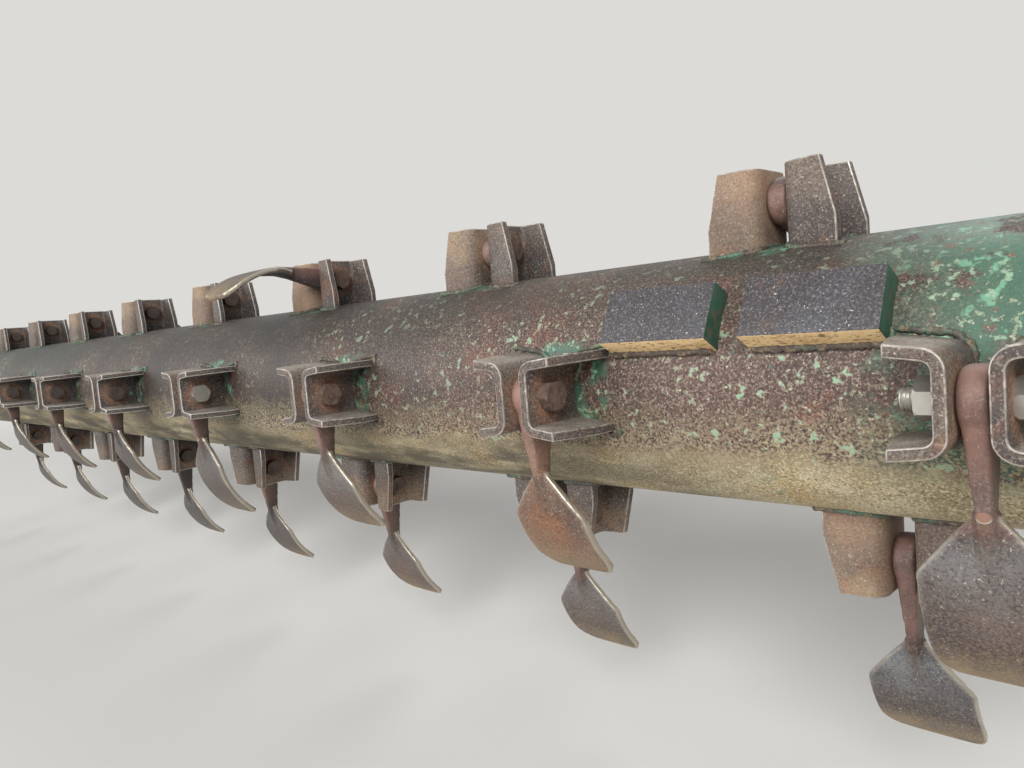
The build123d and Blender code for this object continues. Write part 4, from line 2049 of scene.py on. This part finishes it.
@dataclass
class Housings:
    """The flanged bearing housings that carry the rotor in the machine's side plates."""

    cup_radius: float = 0.060
    cup: float = 0.024
    flange_radius: float = 0.100
    flange: float = 0.016
    nose_radius: float = 0.056
    nose: float = 0.022
    bore: float = 0.0278
    cap: float = 0.006
    bolt_circle: float = 0.080
    hole_radius: float = 0.00875
    holes: int = 4
    cup_chamfer: float = 0.002
    edge_chamfer: float = 0.003
    nose_fillet: float = 0.006

    def build(self, finish: bpy.types.Material) -> list[bpy.types.Object]:
        """Make both housings.

        Args:
            finish: The painted casting.

        Returns:
            The left housing and the right one.
        """
        made: list[bpy.types.Object] = []
        edge = self.edge_chamfer
        past = 10.0 * MM
        for side, sign in (("left", -1.0), ("right", 1.0)):
            low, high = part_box(f"bearing_housing_{side}")
            outer = low[0] if sign < 0 else high[0]
            face = outer - sign * (self.nose + self.flange)
            back = face - sign * self.cup
            rim = face + sign * self.flange
            outline = [(back, self.bore), (back, self.cup_radius - self.cup_chamfer)]
            outline += [(back + sign * self.cup_chamfer, self.cup_radius), (face, self.cup_radius)]
            outline += [(face, self.flange_radius), (rim - sign * edge, self.flange_radius)]
            outline += [(rim, self.flange_radius - edge), (rim, self.nose_radius + self.nose_fillet)]
            outline.append((rim + sign * self.nose_fillet, self.nose_radius))
            outline += [(outer - sign * edge, self.nose_radius), (outer, self.nose_radius - edge)]
            if side == "left":
                outline += [(outer, self.bore), (back, self.bore)]
            else:
                outline += [(outer, 0.0), (outer - sign * self.cap, 0.0)]
                outline += [(outer - sign * self.cap, self.bore), (back, self.bore)]
            piece = new_piece(f"housing_casting_{side}", turned_along_x(outline, 96))
            drill = bmesh.new()
            for n in range(self.holes):
                turn = Matrix.Rotation(math.tau * (n + 0.5) / self.holes, 3, "X")
                verts = bar_along_x(drill, self.hole_radius, face - past, rim + past, 32)
                bmesh.ops.translate(drill, verts=verts, vec=UP * self.bolt_circle)
                bmesh.ops.rotate(drill, verts=verts, cent=(0.0, 0.0, 0.0), matrix=turn)
            cut_away(piece, drill)
            piece.data.materials.append(finish)
            smooth(piece, 0.4)
            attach(piece, "housings")
            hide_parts(f"bearing_housing_{side}")
            made.append(piece)
        return made


@dataclass(frozen=True)
class Lamp:
    """A soft round lamp, with its place, what it points at, its width and its power in watts."""

    name: str
    place: tuple[float, float, float]
    target: tuple[float, float, float]
    width: float
    power: float

    def hang(self) -> None:
        """Put the lamp into the scene."""
        data = bpy.data.lights.new(self.name, "AREA")
        data.shape = "DISK"
        data.size = self.width
        data.energy = self.power
        lamp = bpy.data.objects.new(self.name, data)
        bpy.context.scene.collection.objects.link(lamp)
        lamp.location = self.place
        aim = Vector(self.target) - Vector(self.place)
        lamp.rotation_euler = aim.to_track_quat("-Z", "Y").to_euler()


@dataclass
class Studio:
    """Camera at the photograph's place, with a pale floor and soft light."""

    eye_from_track: float = 0.1105
    distance: float = 0.6375
    height: float = -0.013
    off_axis: float = 46.03
    pitch: float = 0.45
    tilt: float = -17.0
    lens_mm: float = 27.04
    floor: float = -0.42
    fade_middle: float = -1.45
    fade_start: float = 2.2
    fade_end: float = 5.0
    backdrop: str = "#dcdbd8"
    floor_grey: str = "#cfcdc9"
    floor_pale: str = "#d6d4d0"
    sky: str = "#e6e8ea"
    sky_strength: float = 0.34
    lamps: tuple[Lamp, ...] = (
        Lamp("key", (2.6, -5.0, 4.4), (-0.9, 0.0, 0.0), 4.2, 450.0),
        Lamp("fill", (-5.0, -5.0, 3.0), (-1.6, 0.0, 0.0), 5.0, 270.0),
        Lamp("back", (-1.5, 5.5, 5.0), (-1.4, 0.0, 0.0), 4.8, 150.0),
    )

    def camera(self, layout: Layout) -> None:
        """Place the camera in front of the rotor, near its right-hand end.

        Args:
            layout: The rotor's layout.
        """
        data = bpy.data.cameras.new("viewpoint")
        data.lens = self.lens_mm
        data.sensor_width = 36.0
        data.clip_start = 0.01
        camera = bpy.data.objects.new("viewpoint", data)
        bpy.context.scene.collection.objects.link(camera)
        place = Vector((layout.first_track + self.eye_from_track, -self.distance, self.height))
        turn = Matrix.Rotation(math.radians(90.0 - self.off_axis), 4, "Z")
        raise_up = Matrix.Rotation(math.radians(90.0 + self.pitch), 4, "X")
        about_shaft = Matrix.Rotation(math.radians(self.tilt), 4, "X")
        camera.matrix_world = about_shaft @ Matrix.Translation(place) @ turn @ raise_up
        bpy.context.scene.camera = camera

    def ground(self) -> None:
        """Lay the floor."""
        shape = bmesh.new()
        bmesh.ops.create_grid(shape, x_segments=1, y_segments=1, size=14.0)
        bmesh.ops.translate(shape, verts=shape.verts, vec=(0.0, 0.0, self.floor))
        floor = new_piece("floor", shape)
        s = Surface("floor_matt", self.floor_grey, 0.9)
        s.coat(s.spots(400, 0.5, 0.3), self.floor_pale, strength=0.4)
        material = s.finish()
        self.fade_out(s)
        floor.data.materials.append(material)

    def fade_out(self, s: Surface) -> None:
        """Let the floor pass into the background's colour away from the rotor.

        Args:
            s: The floor's finish, with its shader in place.
        """
        output = next(n for n in s.tree.nodes if n.type == "OUTPUT_MATERIAL")
        shader = output.inputs[0].links[0].from_socket
        flat = add_node(
            s.tree,
            "ShaderNodeVectorMath",
            {"operation": "DISTANCE"},
            {0: s.place, 1: (self.fade_middle, 0.0, self.floor)},
        )
        far = add_node(
            s.tree,
            "ShaderNodeMapRange",
            {"interpolation_type": "SMOOTHSTEP"},
            {"Value": flat.outputs["Value"], "From Min": self.fade_start, "From Max": self.fade_end},
        )
        seen = seen_directly(s.tree)
        glow = add_node(s.tree, "ShaderNodeEmission", inputs={"Color": linear(self.backdrop)})
        mix = add_node(
            s.tree,
            "ShaderNodeMixShader",
            inputs={0: s.both(far.outputs[0], seen), 1: shader, 2: glow.outputs[0]},
        )
        s.tree.links.new(mix.outputs[0], output.inputs[0])

    def light(self) -> None:
        """Hang the soft lamps and set the world."""
        for lamp in self.lamps:
            lamp.hang()
        world = bpy.data.worlds.new("studio")
        bpy.context.scene.world = world
        world.use_nodes = True
        tree = world.node_tree
        tree.nodes.clear()
        shown = add_node(
            tree, "ShaderNodeBackground", inputs={"Color": linear(self.backdrop), "Strength": 1.0}
        )
        lit = add_node(
            tree, "ShaderNodeBackground", inputs={"Color": linear(self.sky), "Strength": self.sky_strength}
        )
        mix = add_node(
            tree,
            "ShaderNodeMixShader",
            inputs={0: seen_directly(tree), 1: lit.outputs[0], 2: shown.outputs[0]},
        )
        add_node(tree, "ShaderNodeOutputWorld", inputs={0: mix.outputs[0]})

    def build(self, layout: Layout) -> None:
        """Make the camera, floor and light.

        Args:
            layout: The rotor's layout.
        """
        self.camera(layout)
        self.ground()
        self.light()
        bpy.context.scene.view_settings.view_transform = "Standard"
        LOG.info("studio ready")


def main() -> None:
    """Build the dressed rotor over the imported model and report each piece."""
    logging.basicConfig(level=logging.INFO, format="%(name)s: %(message)s")
    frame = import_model()
    layout = Layout.from_joints(frame["joints"])
    Studio().build(layout)
    edge = WornEdgeSteel().material()
    pieces = Tube().build(layout, WornTubePaint().material())
    sides = {side: BlockSteel(side).material() for side in BlockSide}
    pieces += BalanceBlocks().build(layout, sides, WeldMetal(painted=0.08).material())
    pieces += Lugs(layout).build(LugSteel().material(), edge, WeldMetal().material())
    pieces += Bolts(layout).build({age: BoltSteel(age).material() for age in Age})
    pieces += Flails(layout).build(ForgedFlailSteel().material())
    pieces += ShaftEnds().build(TurnedSteel().material())
    pieces += Housings().build(HousingPaint().material())
    for piece in pieces:
        LOG.info("%s: %d faces", piece.name, len(piece.data.polygons))


if __name__ == "__main__":
    main()
